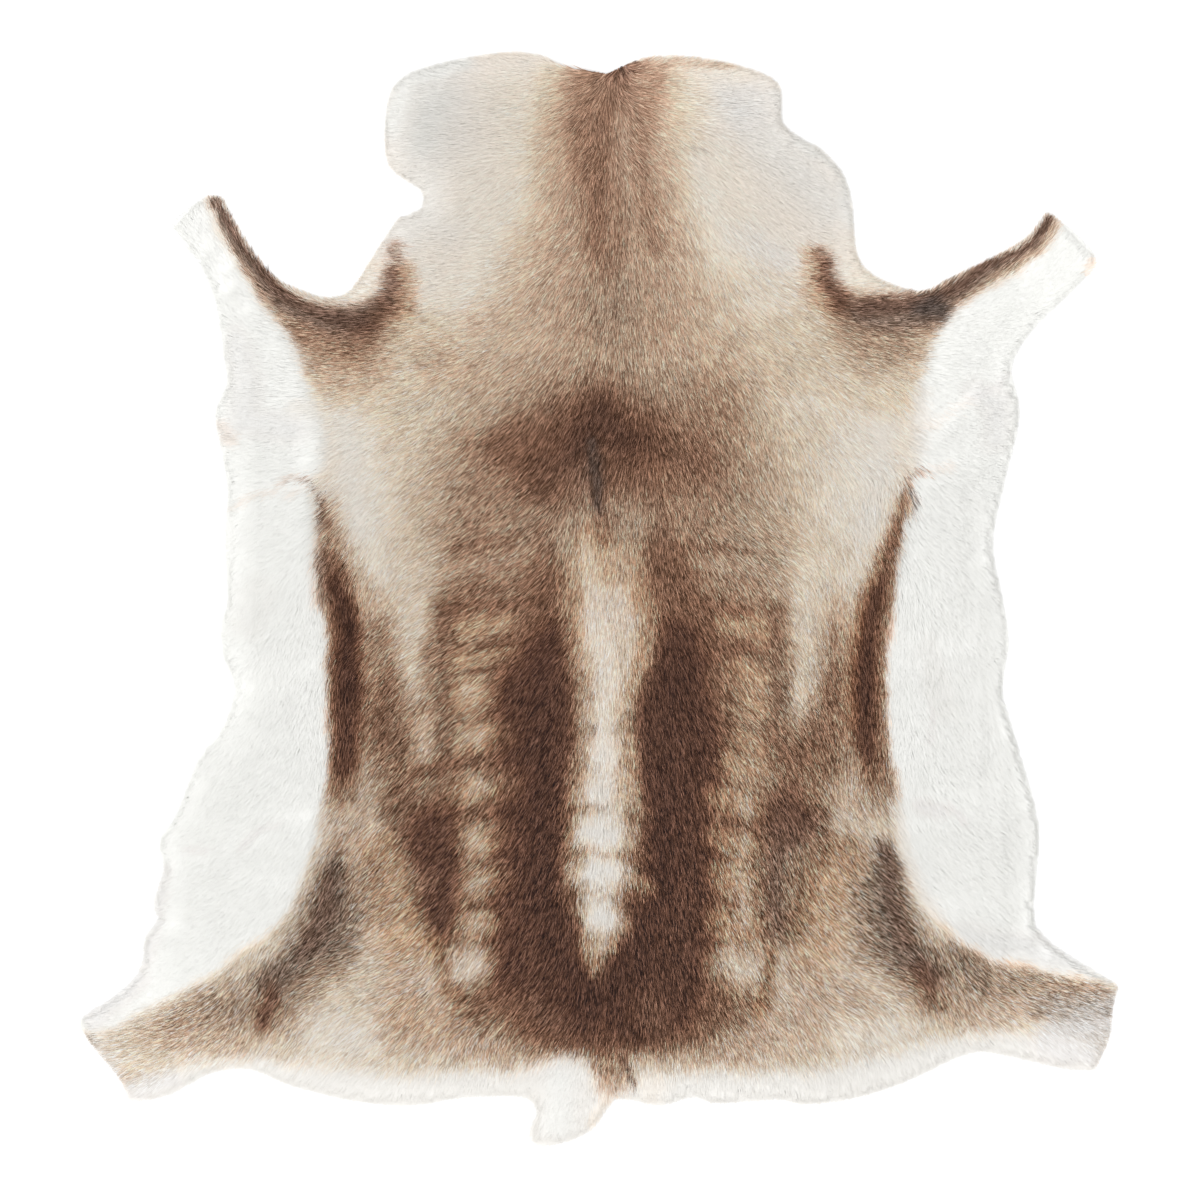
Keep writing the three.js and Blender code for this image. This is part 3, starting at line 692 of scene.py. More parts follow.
# The way the hair lies at places on the chart, in degrees: 0 to the right, 90 down, 180 left.
combing = [
    # neck
    (612, 66, 90), (590, 78, 150), (560, 80, 168), (560, 110, 150), (580, 150, 128),
    (600, 200, 105), (612, 120, 90), (612, 200, 90), (612, 280, 90), (640, 70, -10),
    (640, 90, 10), (650, 120, 25), (640, 140, 45), (640, 200, 65), (480, 130, 178),
    (520, 130, 172), (430, 120, 180), (400, 150, 178), (440, 80, 187), (500, 68, 185),
    (500, 200, 145), (450, 200, 158), (410, 200, 175), (560, 250, 135), (520, 250, 155),
    (480, 250, 170), (430, 250, 175), (400, 250, 180), (700, 110, 5), (700, 150, 40),
    (700, 70, -5), (750, 85, -5), (770, 120, 15), (680, 230, 62), (740, 250, 45),
    (700, 280, 70), (780, 230, 35), (810, 180, 25), (840, 215, 15), (825, 265, 0),
    (650, 290, 78), (570, 300, 115), (740, 180, 35),
    # left shoulder and foreleg
    (330, 320, 180), (340, 350, 180), (380, 300, 182), (380, 345, 172), (380, 380, 167),
    (400, 400, 158), (375, 420, 155), (420, 440, 145), (440, 350, 165), (480, 320, 160),
    (520, 330, 142), (560, 350, 125), (600, 350, 100), (500, 385, 140), (290, 310, 200),
    (260, 280, 220), (235, 240, 237), (215, 205, 250), (190, 225, 238), (210, 265, 230),
    (245, 320, 212), (285, 355, 190), (450, 300, 168),
    # right shoulder and foreleg
    (860, 290, 0), (900, 300, -10), (940, 280, -30), (1000, 250, -33), (1045, 230, -50),
    (1075, 262, -42), (1040, 290, -35), (980, 310, -25), (940, 345, -3), (800, 330, 30),
    (840, 350, 25), (880, 360, 18), (890, 400, 45), (800, 380, 45), (820, 420, 50),
    (870, 440, 35), (800, 480, 72), (720, 330, 55), (760, 330, 40), (680, 350, 70),
    (640, 350, 82),
    # withers
    (450, 400, 138), (500, 450, 137), (520, 500, 138), (560, 430, 118), (600, 430, 112),
    (632, 440, 110), (668, 430, 68), (700, 420, 66), (760, 440, 72), (740, 540, 48),
    (780, 540, 40), (640, 500, 95), (672, 490, 72), (840, 520, 68), (880, 500, 82),
    (360, 480, 140), (400, 480, 140),
    # left of the back
    (450, 560, 147), (520, 560, 142), (480, 640, 150), (430, 640, 145), (380, 640, 132),
    (360, 550, 120), (340, 600, 92), (590, 560, 100), (480, 700, 142), (430, 700, 135),
    (380, 700, 125), (540, 640, 130), (540, 700, 123), (580, 700, 102), (345, 700, 90),
    (340, 760, 98), (400, 760, 132), (540, 780, 118),
    # spine
    (612, 520, 90), (612, 600, 90), (612, 700, 90), (605, 800, 90), (602, 900, 90),
    (604, 980, 92),
    # right of the back
    (740, 600, 60), (700, 600, 65), (640, 560, 85), (840, 600, 78), (880, 600, 90),
    (660, 700, 80), (700, 700, 65), (740, 710, 52), (780, 720, 57), (830, 700, 72),
    (865, 700, 90), (865, 760, 86), (660, 780, 79), (780, 640, 62),
    # left haunch and hind leg
    (340, 800, 125), (400, 800, 132), (480, 850, 132), (560, 850, 112), (400, 900, 140),
    (330, 883, 118), (312, 938, 135), (322, 978, 155), (352, 968, 162), (267, 964, 117),
    (253, 978, 130), (194, 998, 150), (154, 1021, 165), (114, 1043, 172), (273, 1017, 120),
    (292, 1033, 127), (332, 1027, 135), (362, 1017, 143), (371, 998, 152), (496, 966, 128),
    (546, 1016, 128), (463, 950, 120), (480, 1000, 143), (413, 1016, 130), (397, 975, 155),
    (390, 1030, 135), (488, 1058, 102), (562, 1029, 120), (596, 1033, 103), (520, 930, 118),
    (440, 850, 130),
    # right haunch and hind leg
    (660, 850, 78), (740, 850, 67), (780, 850, 70), (830, 830, 55), (740, 950, 65),
    (650, 950, 80), (670, 1033, 85), (703, 983, 75), (736, 1003, 58), (786, 1000, 52),
    (802, 1041, 60), (819, 950, 50), (860, 917, 38), (869, 958, 22), (844, 1003, 33),
    (852, 1033, 55), (879, 809, 60), (888, 877, 38), (898, 954, 32), (888, 974, 22),
    (927, 945, 68), (946, 954, 65), (956, 993, 57), (975, 964, 45), (995, 993, 30),
    (1034, 983, 20), (1082, 1006, 17), (1072, 1041, 42), (933, 1003, 67), (879, 1032, 55),
    (859, 1061, 70),
    # rim of the rump
    (420, 1085, 112), (300, 1075, 122), (200, 1072, 135), (130, 1085, 150), (560, 1110, 118),
    (612, 1085, 92), (700, 1085, 86), (780, 1088, 80), (900, 1072, 66), (1000, 1046, 55),
    # left belly flap
    (270, 420, 178), (250, 470, 168), (270, 520, 150), (270, 600, 132), (240, 640, 145),
    (260, 700, 125), (260, 780, 135), (230, 850, 146), (200, 900, 150), (180, 950, 152),
    (130, 1000, 158), (230, 350, 192), (300, 450, 165), (295, 650, 110),
    # right belly flap
    (960, 400, 5), (970, 450, 15), (940, 520, 30), (950, 600, 48), (985, 640, 35),
    (950, 700, 55), (970, 780, 45), (1010, 820, 35), (980, 850, 35), (960, 900, 35),
    (1010, 930, 25), (1080, 980, 18), (990, 350, -12), (930, 430, 22), (920, 650, 75),
]

comb = {"cell": 8, "reach": 22, "softness": 0.15, "falloff": 4}

layField = newPlan(comb["cell"], 2)
fieldAcross, fieldDown = planPlaces(layField)
for across, down, lay in combing:
    gap = np.hypot(fieldAcross - across, fieldDown - down) / comb["reach"]
    weight = 1 / (comb["softness"] + gap**comb["falloff"])
    layField["values"][..., 0] += weight * math.cos(math.radians(lay))
    layField["values"][..., 1] += weight * math.sin(math.radians(lay))
layField["values"] /= np.linalg.norm(layField["values"], axis=-1, keepdims=True)

# Hairs lie together in fine locks: noise drawn out along the way the hair lies.
locks = {"cell": 0.75, "halfLength": 10, "stride": 1.6, "seed": 15}


def combedNoise():
    plan = newPlan(locks["cell"], 1)
    rows, columns = plan["values"].shape[:2]
    grain = np.random.default_rng(locks["seed"]).normal(0, 1, (rows, columns, 1))
    plan["values"] += grain
    way = readPlan(layField, *planPlaces(plan)) / locks["cell"]
    for reach in np.arange(-locks["halfLength"], locks["halfLength"], locks["stride"]):
        row, column = np.indices((rows, columns))
        row = np.clip(np.rint(row + reach * way[..., 1]).astype(int), 0, rows - 1)
        column = np.clip(np.rint(column + reach * way[..., 0]).astype(int), 0, columns - 1)
        plan["values"] += grain[row, column]
    plan["values"] /= plan["values"].std()
    return plan


lockPlan = combedNoise()
print("hair combed")

# Depth of the coat and distance in from the edge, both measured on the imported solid.
relief = {"cell": 4, "edgeSample": 0.001, "weld": 1e-6, "onFloor": 1e-5, "above": 0.1}


def measureHide():
    bm = bmesh.new()
    bm.from_mesh(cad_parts["hide"].data)
    bmesh.ops.remove_doubles(bm, verts=bm.verts, dist=relief["weld"])
    bm.normal_update()
    rim = [e for e in bm.edges if max(v.co.z for v in e.verts) < relief["onFloor"]
           and any(abs(f.normal.z) < 0.5 for f in e.link_faces)]
    samples = []
    for edge in rim:
        start, end = edge.verts[0].co, edge.verts[1].co
        count = max(1, round((end - start).length / relief["edgeSample"]))
        samples += [start.lerp(end, i / count) for i in range(count)]
    near = KDTree(len(samples))
    for i, sample in enumerate(samples):
        near.insert(sample, i)
    near.balance()
    tree = BVHTree.FromBMesh(bm)
    plan = newPlan(relief["cell"], 2)
    across, down = planPlaces(plan)
    xs, ys = toMetres(across, down)
    above, downwards = hideHigh.z + relief["above"], Vector((0, 0, -1))
    for row, column in np.ndindex(across.shape):
        x, y = xs[row, column], ys[row, column]
        hit = tree.ray_cast(Vector((x, y, above)), downwards)[0]
        gap = near.find(Vector((x, y, 0)))[2]
        plan["values"][row, column] = (hit.z, gap) if hit else (0, -gap)
    bm.free()
    return plan


reliefPlan = measureHide()
print("hide measured")


def coatHeight(x, y):
    return readPlan(reliefPlan, *toChart(x, y))[..., 0]


def distanceIn(x, y):
    return readPlan(reliefPlan, *toChart(x, y))[..., 1]


# the way out to the edge, as a unit vector
def wayOut(x, y):
    reach = 0.004
    outX = distanceIn(x - reach, y) - distanceIn(x + reach, y)
    outY = distanceIn(x, y - reach) - distanceIn(x, y + reach)
    size = np.maximum(np.hypot(outX, outY), 1e-9)
    return outX / size, outY / size


def objectFrom(mesh, name, material):
    piece = bpy.data.objects.new(name, mesh)
    bpy.context.scene.collection.objects.link(piece)
    mesh.materials.append(material)
    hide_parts("hide")
    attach(piece, "root")
    return piece


# a shader group that materials share
def newGroup(name, inputs, outputs):
    group = bpy.data.node_groups.new(name, "ShaderNodeTree")
    for label, kind, value in inputs:
        socket = group.interface.new_socket(label, in_out="INPUT", socket_type=kind)
        if value is not None:
            socket.default_value = value
    for label, kind in outputs:
        group.interface.new_socket(label, in_out="OUTPUT", socket_type=kind)
    return group, group.nodes.new("NodeGroupInput"), group.nodes.new("NodeGroupOutput")


def mathNode(nodes, operation, *values):
    node = nodes.new("ShaderNodeMath")
    node.operation = operation
    for socket, value in zip(node.inputs, values):
        if isinstance(value, (int, float)):
            socket.default_value = value
    return node


# a colour made a little lighter and darker in soft patches
def makeTint():
    group, start, end = newGroup(
        "furTint",
        [("Colour", "NodeSocketColor", None), ("Scale", "NodeSocketFloat", 60.0),
         ("Amount", "NodeSocketFloat", 0.1)],
        [("Colour", "NodeSocketColor")],
    )
    nodes, links = group.nodes, group.links
    place = nodes.new("ShaderNodeTexCoord")
    noise = nodes.new("ShaderNodeTexNoise")
    noise.inputs["Detail"].default_value = 3
    centre = mathNode(nodes, "SUBTRACT", None, 0.5)
    spread = mathNode(nodes, "MULTIPLY")
    gain = mathNode(nodes, "ADD", None, 1.0)
    scaled = nodes.new("ShaderNodeVectorMath")
    scaled.operation = "SCALE"
    links.new(place.outputs["Object"], noise.inputs["Vector"])
    links.new(start.outputs["Scale"], noise.inputs["Scale"])
    links.new(noise.outputs["Fac"], centre.inputs[0])
    links.new(centre.outputs[0], spread.inputs[0])
    links.new(start.outputs["Amount"], spread.inputs[1])
    links.new(spread.outputs[0], gain.inputs[0])
    links.new(start.outputs["Colour"], scaled.inputs[0])
    links.new(gain.outputs[0], scaled.inputs["Scale"])
    links.new(scaled.outputs[0], end.inputs["Colour"])
    return group


# the fine grain of short fibres, as a bump
def makeNap():
    group, start, end = newGroup(
        "napGrain",
        [("Scale", "NodeSocketFloat", 900.0), ("Depth", "NodeSocketFloat", 0.0004)],
        [("Normal", "NodeSocketVector")],
    )
    nodes, links = group.nodes, group.links
    place = nodes.new("ShaderNodeTexCoord")
    noise = nodes.new("ShaderNodeTexNoise")
    noise.inputs["Detail"].default_value = 4
    noise.inputs["Roughness"].default_value = 0.65
    bump = nodes.new("ShaderNodeBump")
    bump.inputs["Strength"].default_value = 0.8
    links.new(place.outputs["Object"], noise.inputs["Vector"])
    links.new(start.outputs["Scale"], noise.inputs["Scale"])
    links.new(start.outputs["Depth"], bump.inputs["Distance"])
    links.new(noise.outputs["Fac"], bump.inputs["Height"])
    links.new(bump.outputs["Normal"], end.inputs["Normal"])
    return group


furTint = makeTint()
napGrain = makeNap()
matt = {"specular": 0.18, "sheenRoughness": 0.5}


def newMaterial(name, roughness, sheen=0):
    material = bpy.data.materials.new(name)
    material.use_nodes = True
    shader = material.node_tree.nodes["Principled BSDF"]
    shader.inputs["Roughness"].default_value = roughness
    shader.inputs["Specular IOR Level"].default_value = matt["specular"]
    shader.inputs["Sheen Weight"].default_value = sheen
    shader.inputs["Sheen Roughness"].default_value = matt["sheenRoughness"]
    return material, shader


def placeGroup(material, group, values):
    node = material.node_tree.nodes.new("ShaderNodeGroup")
    node.node_tree = group
    for label, value in values.items():
        node.inputs[label].default_value = value
    return node


# fur in the colours stored on the mesh
def furMaterial(name, tintValues, roughness, napValues=None):
    material, shader = newMaterial(name, roughness)
    nodes, links = material.node_tree.nodes, material.node_tree.links
    dyed = nodes.new("ShaderNodeAttribute")
    dyed.attribute_name = "coatColour"
    tint = placeGroup(material, furTint, tintValues)
    links.new(dyed.outputs["Color"], tint.inputs["Colour"])
    links.new(tint.outputs["Colour"], shader.inputs["Base Color"])
    if napValues:
        grain = placeGroup(material, napGrain, napValues)
        links.new(grain.outputs["Normal"], shader.inputs["Normal"])
    return material


skinStyle = {
    "cell": 0.010,
    "inset": 0.006,  # from the hide's outline
    "thickness": 0.0018,
    "roughness": 0.85,
    "sheen": 0.2,
    "patches": {"Scale": 9, "Detail": 5},
    "shades": [(0.35, (0.58, 0.5, 0.38, 1)), (0.62, (0.78, 0.73, 0.62, 1))],
    "tint": {"Scale": 240.0, "Amount": 0.22},
    "nap": {"Scale": 1100.0, "Depth": 0.0005},
}


def suedeMaterial():
    material, shader = newMaterial("suede", skinStyle["roughness"], skinStyle["sheen"])
    nodes, links = material.node_tree.nodes, material.node_tree.links
    place = nodes.new("ShaderNodeTexCoord")
    patches = nodes.new("ShaderNodeTexNoise")
    for label, value in skinStyle["patches"].items():
        patches.inputs[label].default_value = value
    shades = nodes.new("ShaderNodeValToRGB")
    for element, (position, shade) in zip(shades.color_ramp.elements, skinStyle["shades"]):
        element.position = position
        element.color = shade
    tint = placeGroup(material, furTint, skinStyle["tint"])
    grain = placeGroup(material, napGrain, skinStyle["nap"])
    links.new(place.outputs["Object"], patches.inputs["Vector"])
    links.new(patches.outputs["Fac"], shades.inputs["Fac"])
    links.new(shades.outputs["Color"], tint.inputs["Colour"])
    links.new(tint.outputs["Colour"], shader.inputs["Base Color"])
    links.new(grain.outputs["Normal"], shader.inputs["Normal"])
    return material


# The panels' rim is cut a little wide and drawn in, in passes, and the inside is evened out.
panel = {"spare": 0.4, "rimPasses": 3, "evenPasses": 2, "evenFactor": 0.5}


# A closed panel in the hide's outline, set in from its edge, between a flat underside and a
# top whose height is given at each place.
def layPanel(name, cell, inset, underside, topHeight):
    bm = bmesh.new()
    width, length = hideHigh.x - hideLow.x, hideHigh.y - hideLow.y
    bmesh.ops.create_grid(bm, x_segments=round(width / cell), y_segments=round(length / cell),
                          size=0.5)
    bmesh.ops.scale(bm, vec=(width, length, 1), verts=bm.verts)

    def depths(verts):
        return distanceIn(np.array([v.co.x for v in verts]), np.array([v.co.y for v in verts]))

    least = inset - panel["spare"] * cell
    spare = [v for v, depth in zip(bm.verts, depths(bm.verts)) if depth < least]
    while spare:  # then whatever hangs by a corner
        bmesh.ops.delete(bm, geom=spare, context="VERTS")
        spare = [v for v in bm.verts if not v.link_faces
                 or sum(e.is_boundary for e in v.link_edges) > 2]
    # the rim is drawn onto the inset outline
    rim = [v for v in bm.verts if v.is_boundary]
    for _ in range(panel["rimPasses"]):
        xs, ys = np.array([v.co.x for v in rim]), np.array([v.co.y for v in rim])
        outX, outY = wayOut(xs, ys)
        short = distanceIn(xs, ys) - inset
        for vert, moveX, moveY in zip(rim, outX * short, outY * short):
            vert.co.x += moveX
            vert.co.y += moveY
    inner = [v for v in bm.verts if not v.is_boundary]
    for _ in range(panel["evenPasses"]):
        bmesh.ops.smooth_vert(bm, verts=inner, factor=panel["evenFactor"],
                              use_axis_x=True, use_axis_y=True)
    lifted = bmesh.ops.extrude_face_region(bm, geom=bm.faces[:])["geom"]
    top = [g for g in lifted if isinstance(g, bmesh.types.BMVert)]
    for vert in bm.verts:
        vert.co.z = underside
    heights = topHeight(np.array([v.co.x for v in top]), np.array([v.co.y for v in top]))
    for vert, height in zip(top, heights):
        vert.co.z = float(height)
    bmesh.ops.recalc_face_normals(bm, faces=bm.faces)
    mesh = bpy.data.meshes.new(name)
    bm.to_mesh(mesh)
    bm.free()
    mesh.shade_smooth()
    return mesh


skinTop = hideLow.z + skinStyle["thickness"]
skinMesh = layPanel("skin", skinStyle["cell"], skinStyle["inset"], hideLow.z,
                    lambda x, y: np.full(x.shape, skinTop))
skin = objectFrom(skinMesh, "skin", suedeMaterial())
print("skin laid")

undercoatStyle = {
    "cell": 0.0075,
    "inset": 0.009,
    "height": 0.6,  # of the coat's depth
    "least": 0.001,
    "sink": 0.0005,  # into the skin
    # painted shade: the undercoat's colours are darkened as if shaded by the hair over it
    "shade": 0.62,
    "roughness": 0.8,
    "tint": {"Scale": 300.0, "Amount": 0.3},
    "nap": {"Scale": 700.0, "Depth": 0.0012},
}


def undercoatTop(x, y):
    return np.maximum(undercoatStyle["height"] * coatHeight(x, y), skinTop + undercoatStyle["least"])


undercoatMesh = layPanel("undercoat", undercoatStyle["cell"], undercoatStyle["inset"],
                         skinTop - undercoatStyle["sink"], undercoatTop)


def storeColours(mesh, colours):
    attribute = mesh.attributes.new("coatColour", "FLOAT_COLOR", "POINT")
    full = np.ones((len(colours), 4), np.float32)
    full[:, :3] = colours
    attribute.data.foreach_set("color", full.ravel())


places = np.array([v.co[:] for v in undercoatMesh.vertices])
shades = toLinear(coatColour(*toChart(places[:, 0], places[:, 1])))
# the undercoat is stored darker, as painted shade under the hair
storeColours(undercoatMesh, shades * undercoatStyle["shade"])
undercoatFur = furMaterial("undercoatFur", undercoatStyle["tint"], undercoatStyle["roughness"],
                           undercoatStyle["nap"])
undercoat = objectFrom(undercoatMesh, "undercoat", undercoatFur)
print("undercoat laid")

# The outer hair: flat pointed strands that lie over each other.
hairStyle = {
    "seed": 2024,
    "spacing": 0.00102,  # between roots
    "jitter": 0.6,  # of the spacing, either way
    "fromEdge": 0.001,
    "length": 0.0155,
    "lengthSpread": 0.3,
    "width": 0.0013,  # at the root
    "widthSpread": (0.8, 1.2),
    "scatter": 5,  # degrees either way
    "pull": 0.9,  # outwards near the edge
    "pullReach": 0.006,
    "bend": 0.10,
    "roll": 24,  # degrees either way
    "rootLift": 0.62,  # shares of the coat's depth
    "tipLift": 0.98,
    "liftSpread": 0.05,
    "overhang": 0.004,  # beyond the outline
    "shorter": (0.9, 0.8, 0.7, 0.6, 0.5, 0.4, 0.3, 0.2),  # where a hair would reach too far
    "rootsFrom": 0.004,  # by the edge the roots start on the skin
    "rootsRange": 0.010,
    "rootSink": 0.0005,
    "clearance": 0.0008,  # above the floor
    "seenAt": 0.6,  # of the length, where a hair's colour is read
    "contrast": 0.06,  # between locks
    "hairContrast": 1.5,
    "rougher": ([60, 300, 600, 900, 1100], [0.6, 0.85, 1.0, 1.3, 1.1]),  # down the chart
    "hues": (1, 1.09, 1.2),  # of the contrast: pale hairs are greyer and dark ones warmer
    "evenAbove": 0.87,  # brightness from which hairs are all alike
    "evenRange": 0.42,
    "stray": (0.0032, 0.001),  # of the colour, along the hair and across it
    # painted shade at the root end of each hair
    "rootShade": 0.7,
    "colourRange": (0.01, 0.93),
    "gain": ([0, 0.1, 0.2, 0.3, 0.45, 0.58, 0.67, 0.72, 0.78, 0.87, 1],
             [1.4, 1.48, 1.55, 1.58, 1.53, 1.42, 1.24, 1.15, 1.06, 1.02, 1]),
    "roughness": 0.6,
    "tint": {"Scale": 220.0, "Amount": 0.16},
}
# The belly's hair: shares of the values above, and its own surface.
bellyStyle = {"kept": 0.8, "length": 1.7, "width": 1.9, "contrast": 0.2, "scatter": 0.9,
              "calm": 0.15, "roughness": 0.75, "tint": {"Scale": 60.0, "Amount": 0.03}}

# Pieces of the coat, each down to a place on the chart.
hairPieces = [("neckHair", 318), ("shoulderHair", 470), ("withersHair", 600), ("backHair", 735),
              ("loinHair", 860), ("haunchHair", 985), ("rumpHair", 1200)]


# One strand is a narrow triangle: along it from 0 at the root to 1 at the tip, and across it
# from -1 to 1.
def strandShape():
    bm = bmesh.new()
    bmesh.ops.create_circle(bm, cap_ends=True, segments=3, radius=1)
    if sum(f.normal.z for f in bm.faces) < 0:
        bmesh.ops.reverse_faces(bm, faces=bm.faces[:])
    bm.verts.index_update()
    points = np.array([v.co[:] for v in bm.verts])
    corners = np.array([[v.index for v in f.verts] for f in bm.faces])
    bm.free()
    low, high = points.min(0), points.max(0)
    return points[:, 0] / high[0], (points[:, 1] - low[1]) / (high[1] - low[1]), corners


def growHair():
    style = hairStyle
    generator = np.random.default_rng(style["seed"])
    columns = np.arange(hideLow.x, hideHigh.x, style["spacing"])
    rows = np.arange(hideLow.y, hideHigh.y, style["spacing"])
    x, y = (grid.ravel() for grid in np.meshgrid(columns, rows))
    x = x + generator.uniform(-style["jitter"], style["jitter"], x.size) * style["spacing"]
    y = y + generator.uniform(-style["jitter"], style["jitter"], y.size) * style["spacing"]
    pale = readPlan(belly, *toChart(x, y))[:, 0]
    kept = distanceIn(x, y) > style["fromEdge"]
    kept &= generator.random(x.size) < 1 - (1 - bellyStyle["kept"]) * pale
    x, y, pale = x[kept], y[kept], pale[kept]
    count = x.size

    def blend(share):  # from the body's value to the belly's
        return 1 + (share - 1) * pale

    # the way each hair lies, turned outwards near the edge
    lay = readPlan(layField, *toChart(x, y))
    turn = np.radians(generator.normal(0, style["scatter"], count) * blend(bellyStyle["scatter"]))
    wayX, wayY = lay[:, 0], -lay[:, 1]
    wayX, wayY = (wayX * np.cos(turn) - wayY * np.sin(turn),
                  wayX * np.sin(turn) + wayY * np.cos(turn))
    outX, outY = wayOut(x, y)
    pull = style["pull"] * np.exp(-distanceIn(x, y) / style["pullReach"])
    wayX, wayY = wayX + pull * outX, wayY + pull * outY
    size = np.hypot(wayX, wayY)
    wayX, wayY = wayX / size, wayY / size

    length = style["length"] * blend(bellyStyle["length"])
    length = length * (1 + style["lengthSpread"] * generator.uniform(-1, 1, count))
    # hairs that would reach too far beyond the outline are shorter
    overhang = style["overhang"] * generator.random(count)
    share = np.ones(count)
    for part in style["shorter"]:
        reach = length * (part + 0.1)
        over = distanceIn(x + wayX * reach, y + wayY * reach) < -overhang
        share = np.where(over, part, share)
    length = length * share

    width = style["width"] * blend(bellyStyle["width"])
    width = width * generator.uniform(*style["widthSpread"], count)
    calm = blend(bellyStyle["calm"])
    bend = style["bend"] * generator.normal(0, 1, count)
    roll = calm * np.tan(np.radians(style["roll"] * generator.uniform(-1, 1, count)))
    lift = calm * style["liftSpread"] * generator.normal(0, 1, count)

    # colour is read where the hair shows, and pale hair is the most even
    seenX = x + style["seenAt"] * length * wayX
    seenY = y + style["seenAt"] * length * wayY
    ahead = style["stray"][0] * generator.normal(0, 1, count)
    aside = style["stray"][1] * generator.normal(0, 1, count)
    colour = coatColour(*toChart(seenX + ahead * wayX - aside * wayY,
                                 seenY + ahead * wayY + aside * wayX))
    variety = np.clip((style["evenAbove"] - colour.mean(1)) / style["evenRange"], 0, 1)
    seenAcross, seenDown = toChart(seenX, seenY)
    variety *= blend(bellyStyle["contrast"])
    # middling colours lose light between the hairs, so they are dyed lighter
    colour = toLinear(colour)
    colour *= np.interp(colour.mean(1, keepdims=True), *style["gain"])
    spread = style["hairContrast"] * np.interp(seenDown, *style["rougher"]) * variety + 1e-6
    spread = spread[:, None] * style["hues"]
    colour *= np.exp(spread * generator.uniform(-1, 1, (count, 1))) * spread / np.sinh(spread)
    locked = style["contrast"] * variety * readPlan(lockPlan, seenAcross, seenDown)[:, 0]
    colour = np.clip(colour * np.exp(locked[:, None] * style["hues"]), *style["colourRange"])

    across, along, corners = strandShape()
    points = np.zeros((count, len(along), 3), np.float32)
    colours = np.zeros((count, len(along), 3), np.float32)
    inFromEdge = np.clip((distanceIn(x, y) - style["rootsFrom"]) / style["rootsRange"], 0, 1)
    sink = style["rootSink"]
    for i, (u, v) in enumerate(zip(across, along)):
        curl = bend * length * v * v
        centreX = x + wayX * length * v - wayY * curl
        centreY = y + wayY * length * v + wayX * curl
        share = style["rootLift"] + (style["tipLift"] - style["rootLift"] + lift) * v
        height = coatHeight(centreX, centreY) * share
        if v < 0.5:
            height = skinTop - sink + (height - skinTop + sink) * inFromEdge
        points[:, i, 0] = centreX + wayY * u * width / 2
        points[:, i, 1] = centreY - wayX * u * width / 2
        points[:, i, 2] = np.maximum(height + roll * u * width / 2, style["clearance"])
        # painted shade: the root end of each hair is darker, standing in for the shade deep in the coat
        if v < 0.5:
            colours[:, i] = colour * (1 - (1 - style["rootShade"]) * variety)[:, None]
        else:
            colours[:, i] = colour
    _, rootDown = toChart(x, y)
    return points, colours, corners, pale > 0.5, rootDown


# all strands of a piece in one mesh, filled in one go because there are so many
def strandMesh(name, points, colours, corners):
    count, perStrand = points.shape[:2]
    loops = (corners[None] + np.arange(count)[:, None, None] * perStrand).ravel()
    mesh = bpy.data.meshes.new(name)
    mesh.vertices.add(count * perStrand)
    mesh.vertices.foreach_set("co", points.ravel())
    mesh.loops.add(loops.size)
    mesh.loops.foreach_set("vertex_index", loops.astype(np.int32))
    mesh.polygons.add(loops.size // 3)
    mesh.polygons.foreach_set("loop_start", np.arange(0, loops.size, 3, dtype=np.int32))
    mesh.update(calc_edges=True)
    storeColours(mesh, colours.reshape(-1, 3))
    mesh.shade_smooth()
    return mesh


points, colours, corners, onBelly, rootDown = growHair()
hairFur = furMaterial("hair", hairStyle["tint"], hairStyle["roughness"])
bellyFur = furMaterial("bellyHair", bellyStyle["tint"], bellyStyle["roughness"])


def addHair(name, chosen, material):
    mesh = strandMesh(name, points[chosen], colours[chosen], corners)
    objectFrom(mesh, name, material)
    print(name, len(mesh.polygons), "triangles")


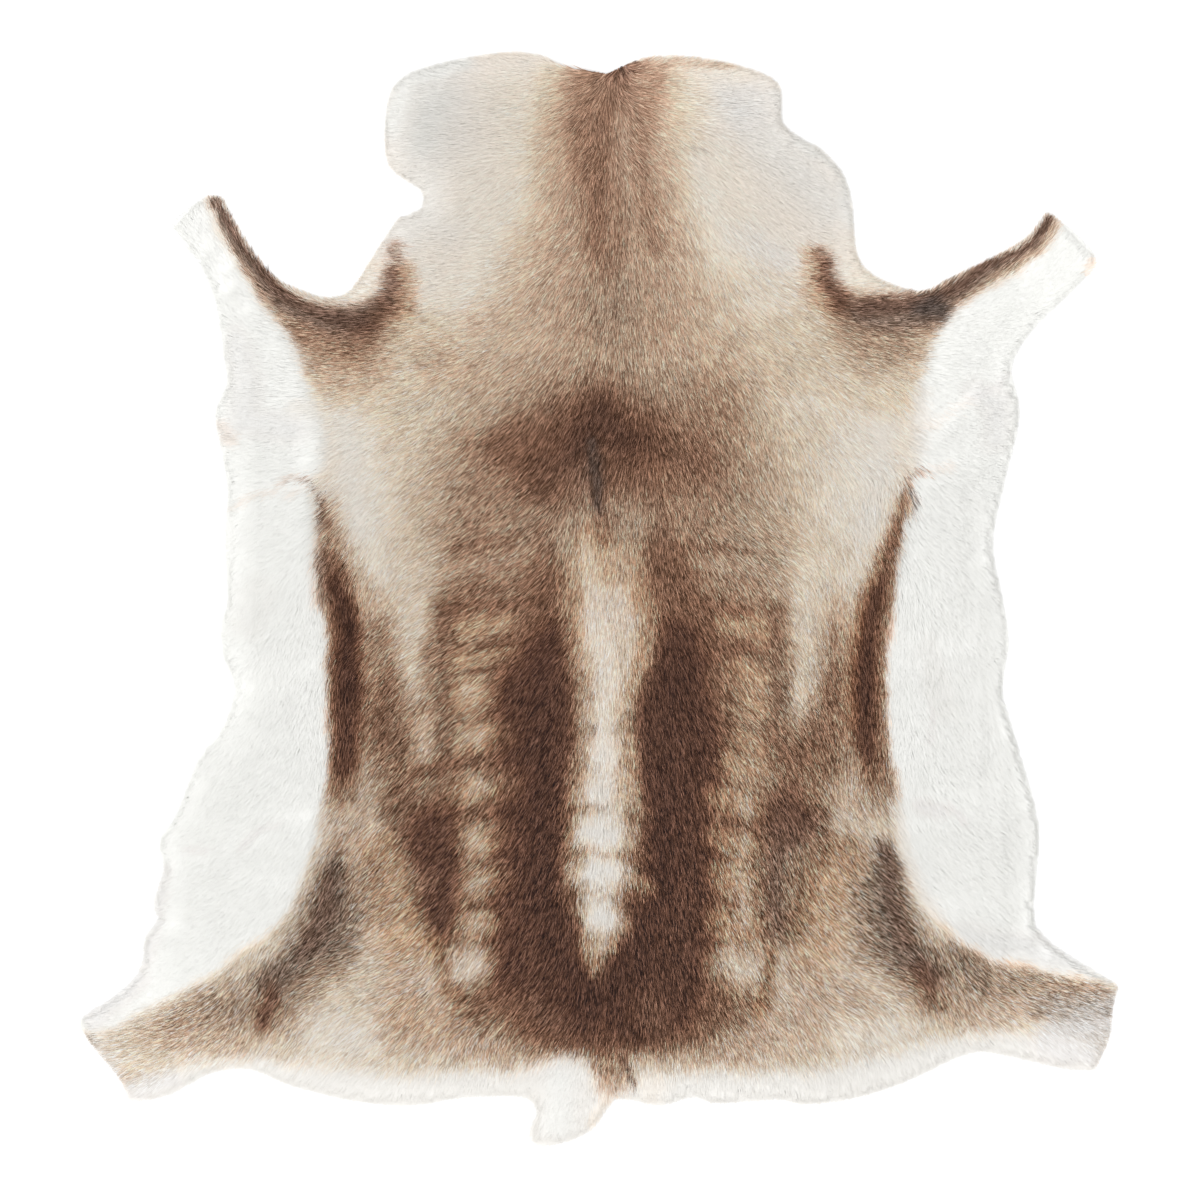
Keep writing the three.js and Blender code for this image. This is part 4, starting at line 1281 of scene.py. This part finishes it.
addHair("bellyHair", onBelly, bellyFur)
pieceTop = 0
for name, pieceEnd in hairPieces:
    addHair(name, ~onBelly & (rootDown >= pieceTop) & (rootDown < pieceEnd), hairFur)
    pieceTop = pieceEnd
print("hair grown")

# Plain pale floor, soft light from all round and from above, camera straight above.
studio = {"sky": 0.98, "sun": 1.15, "sunAngle": 40, "sunTilt": (18, -22), "floor": 0.96,
          "floorRoughness": 0.9, "floorSize": 4, "floorDrop": 0.0006}
camera = {"height": 8, "seen": 1200, "centre": (600, 600), "sensor": 36, "clipEnd": 100}


def makeStudio():
    bm = bmesh.new()
    bmesh.ops.create_grid(bm, x_segments=1, y_segments=1, size=studio["floorSize"])
    bmesh.ops.translate(bm, vec=(0, 0, hideLow.z - studio["floorDrop"]), verts=bm.verts)
    mesh = bpy.data.meshes.new("floor")
    bm.to_mesh(mesh)
    bm.free()
    floor = bpy.data.objects.new("floor", mesh)
    bpy.context.scene.collection.objects.link(floor)
    material, shader = newMaterial("paleFloor", studio["floorRoughness"])
    shader.inputs["Base Color"].default_value = (*[studio["floor"]] * 3, 1)
    mesh.materials.append(material)

    world = bpy.data.worlds.new("studio")
    world.use_nodes = True
    background = world.node_tree.nodes["Background"]
    background.inputs["Color"].default_value = (1, 1, 1, 1)
    background.inputs["Strength"].default_value = studio["sky"]
    bpy.context.scene.world = world

    light = bpy.data.lights.new("topLight", "SUN")
    light.energy = studio["sun"]
    light.angle = math.radians(studio["sunAngle"])
    lamp = bpy.data.objects.new("topLight", light)
    lamp.rotation_euler = [math.radians(a) for a in (*studio["sunTilt"], 0)]
    bpy.context.scene.collection.objects.link(lamp)
    bpy.context.scene.view_settings.view_transform = "Standard"


def makeCamera():
    data = bpy.data.cameras.new("camera")
    data.sensor_width = camera["sensor"]
    data.lens = camera["sensor"] * camera["height"] / (camera["seen"] * step)
    data.clip_end = camera["clipEnd"]
    eye = bpy.data.objects.new("camera", data)
    eye.location = (*toMetres(*camera["centre"]), camera["height"])
    bpy.context.scene.collection.objects.link(eye)
    bpy.context.scene.camera = eye


makeStudio()
makeCamera()
print("studio ready")
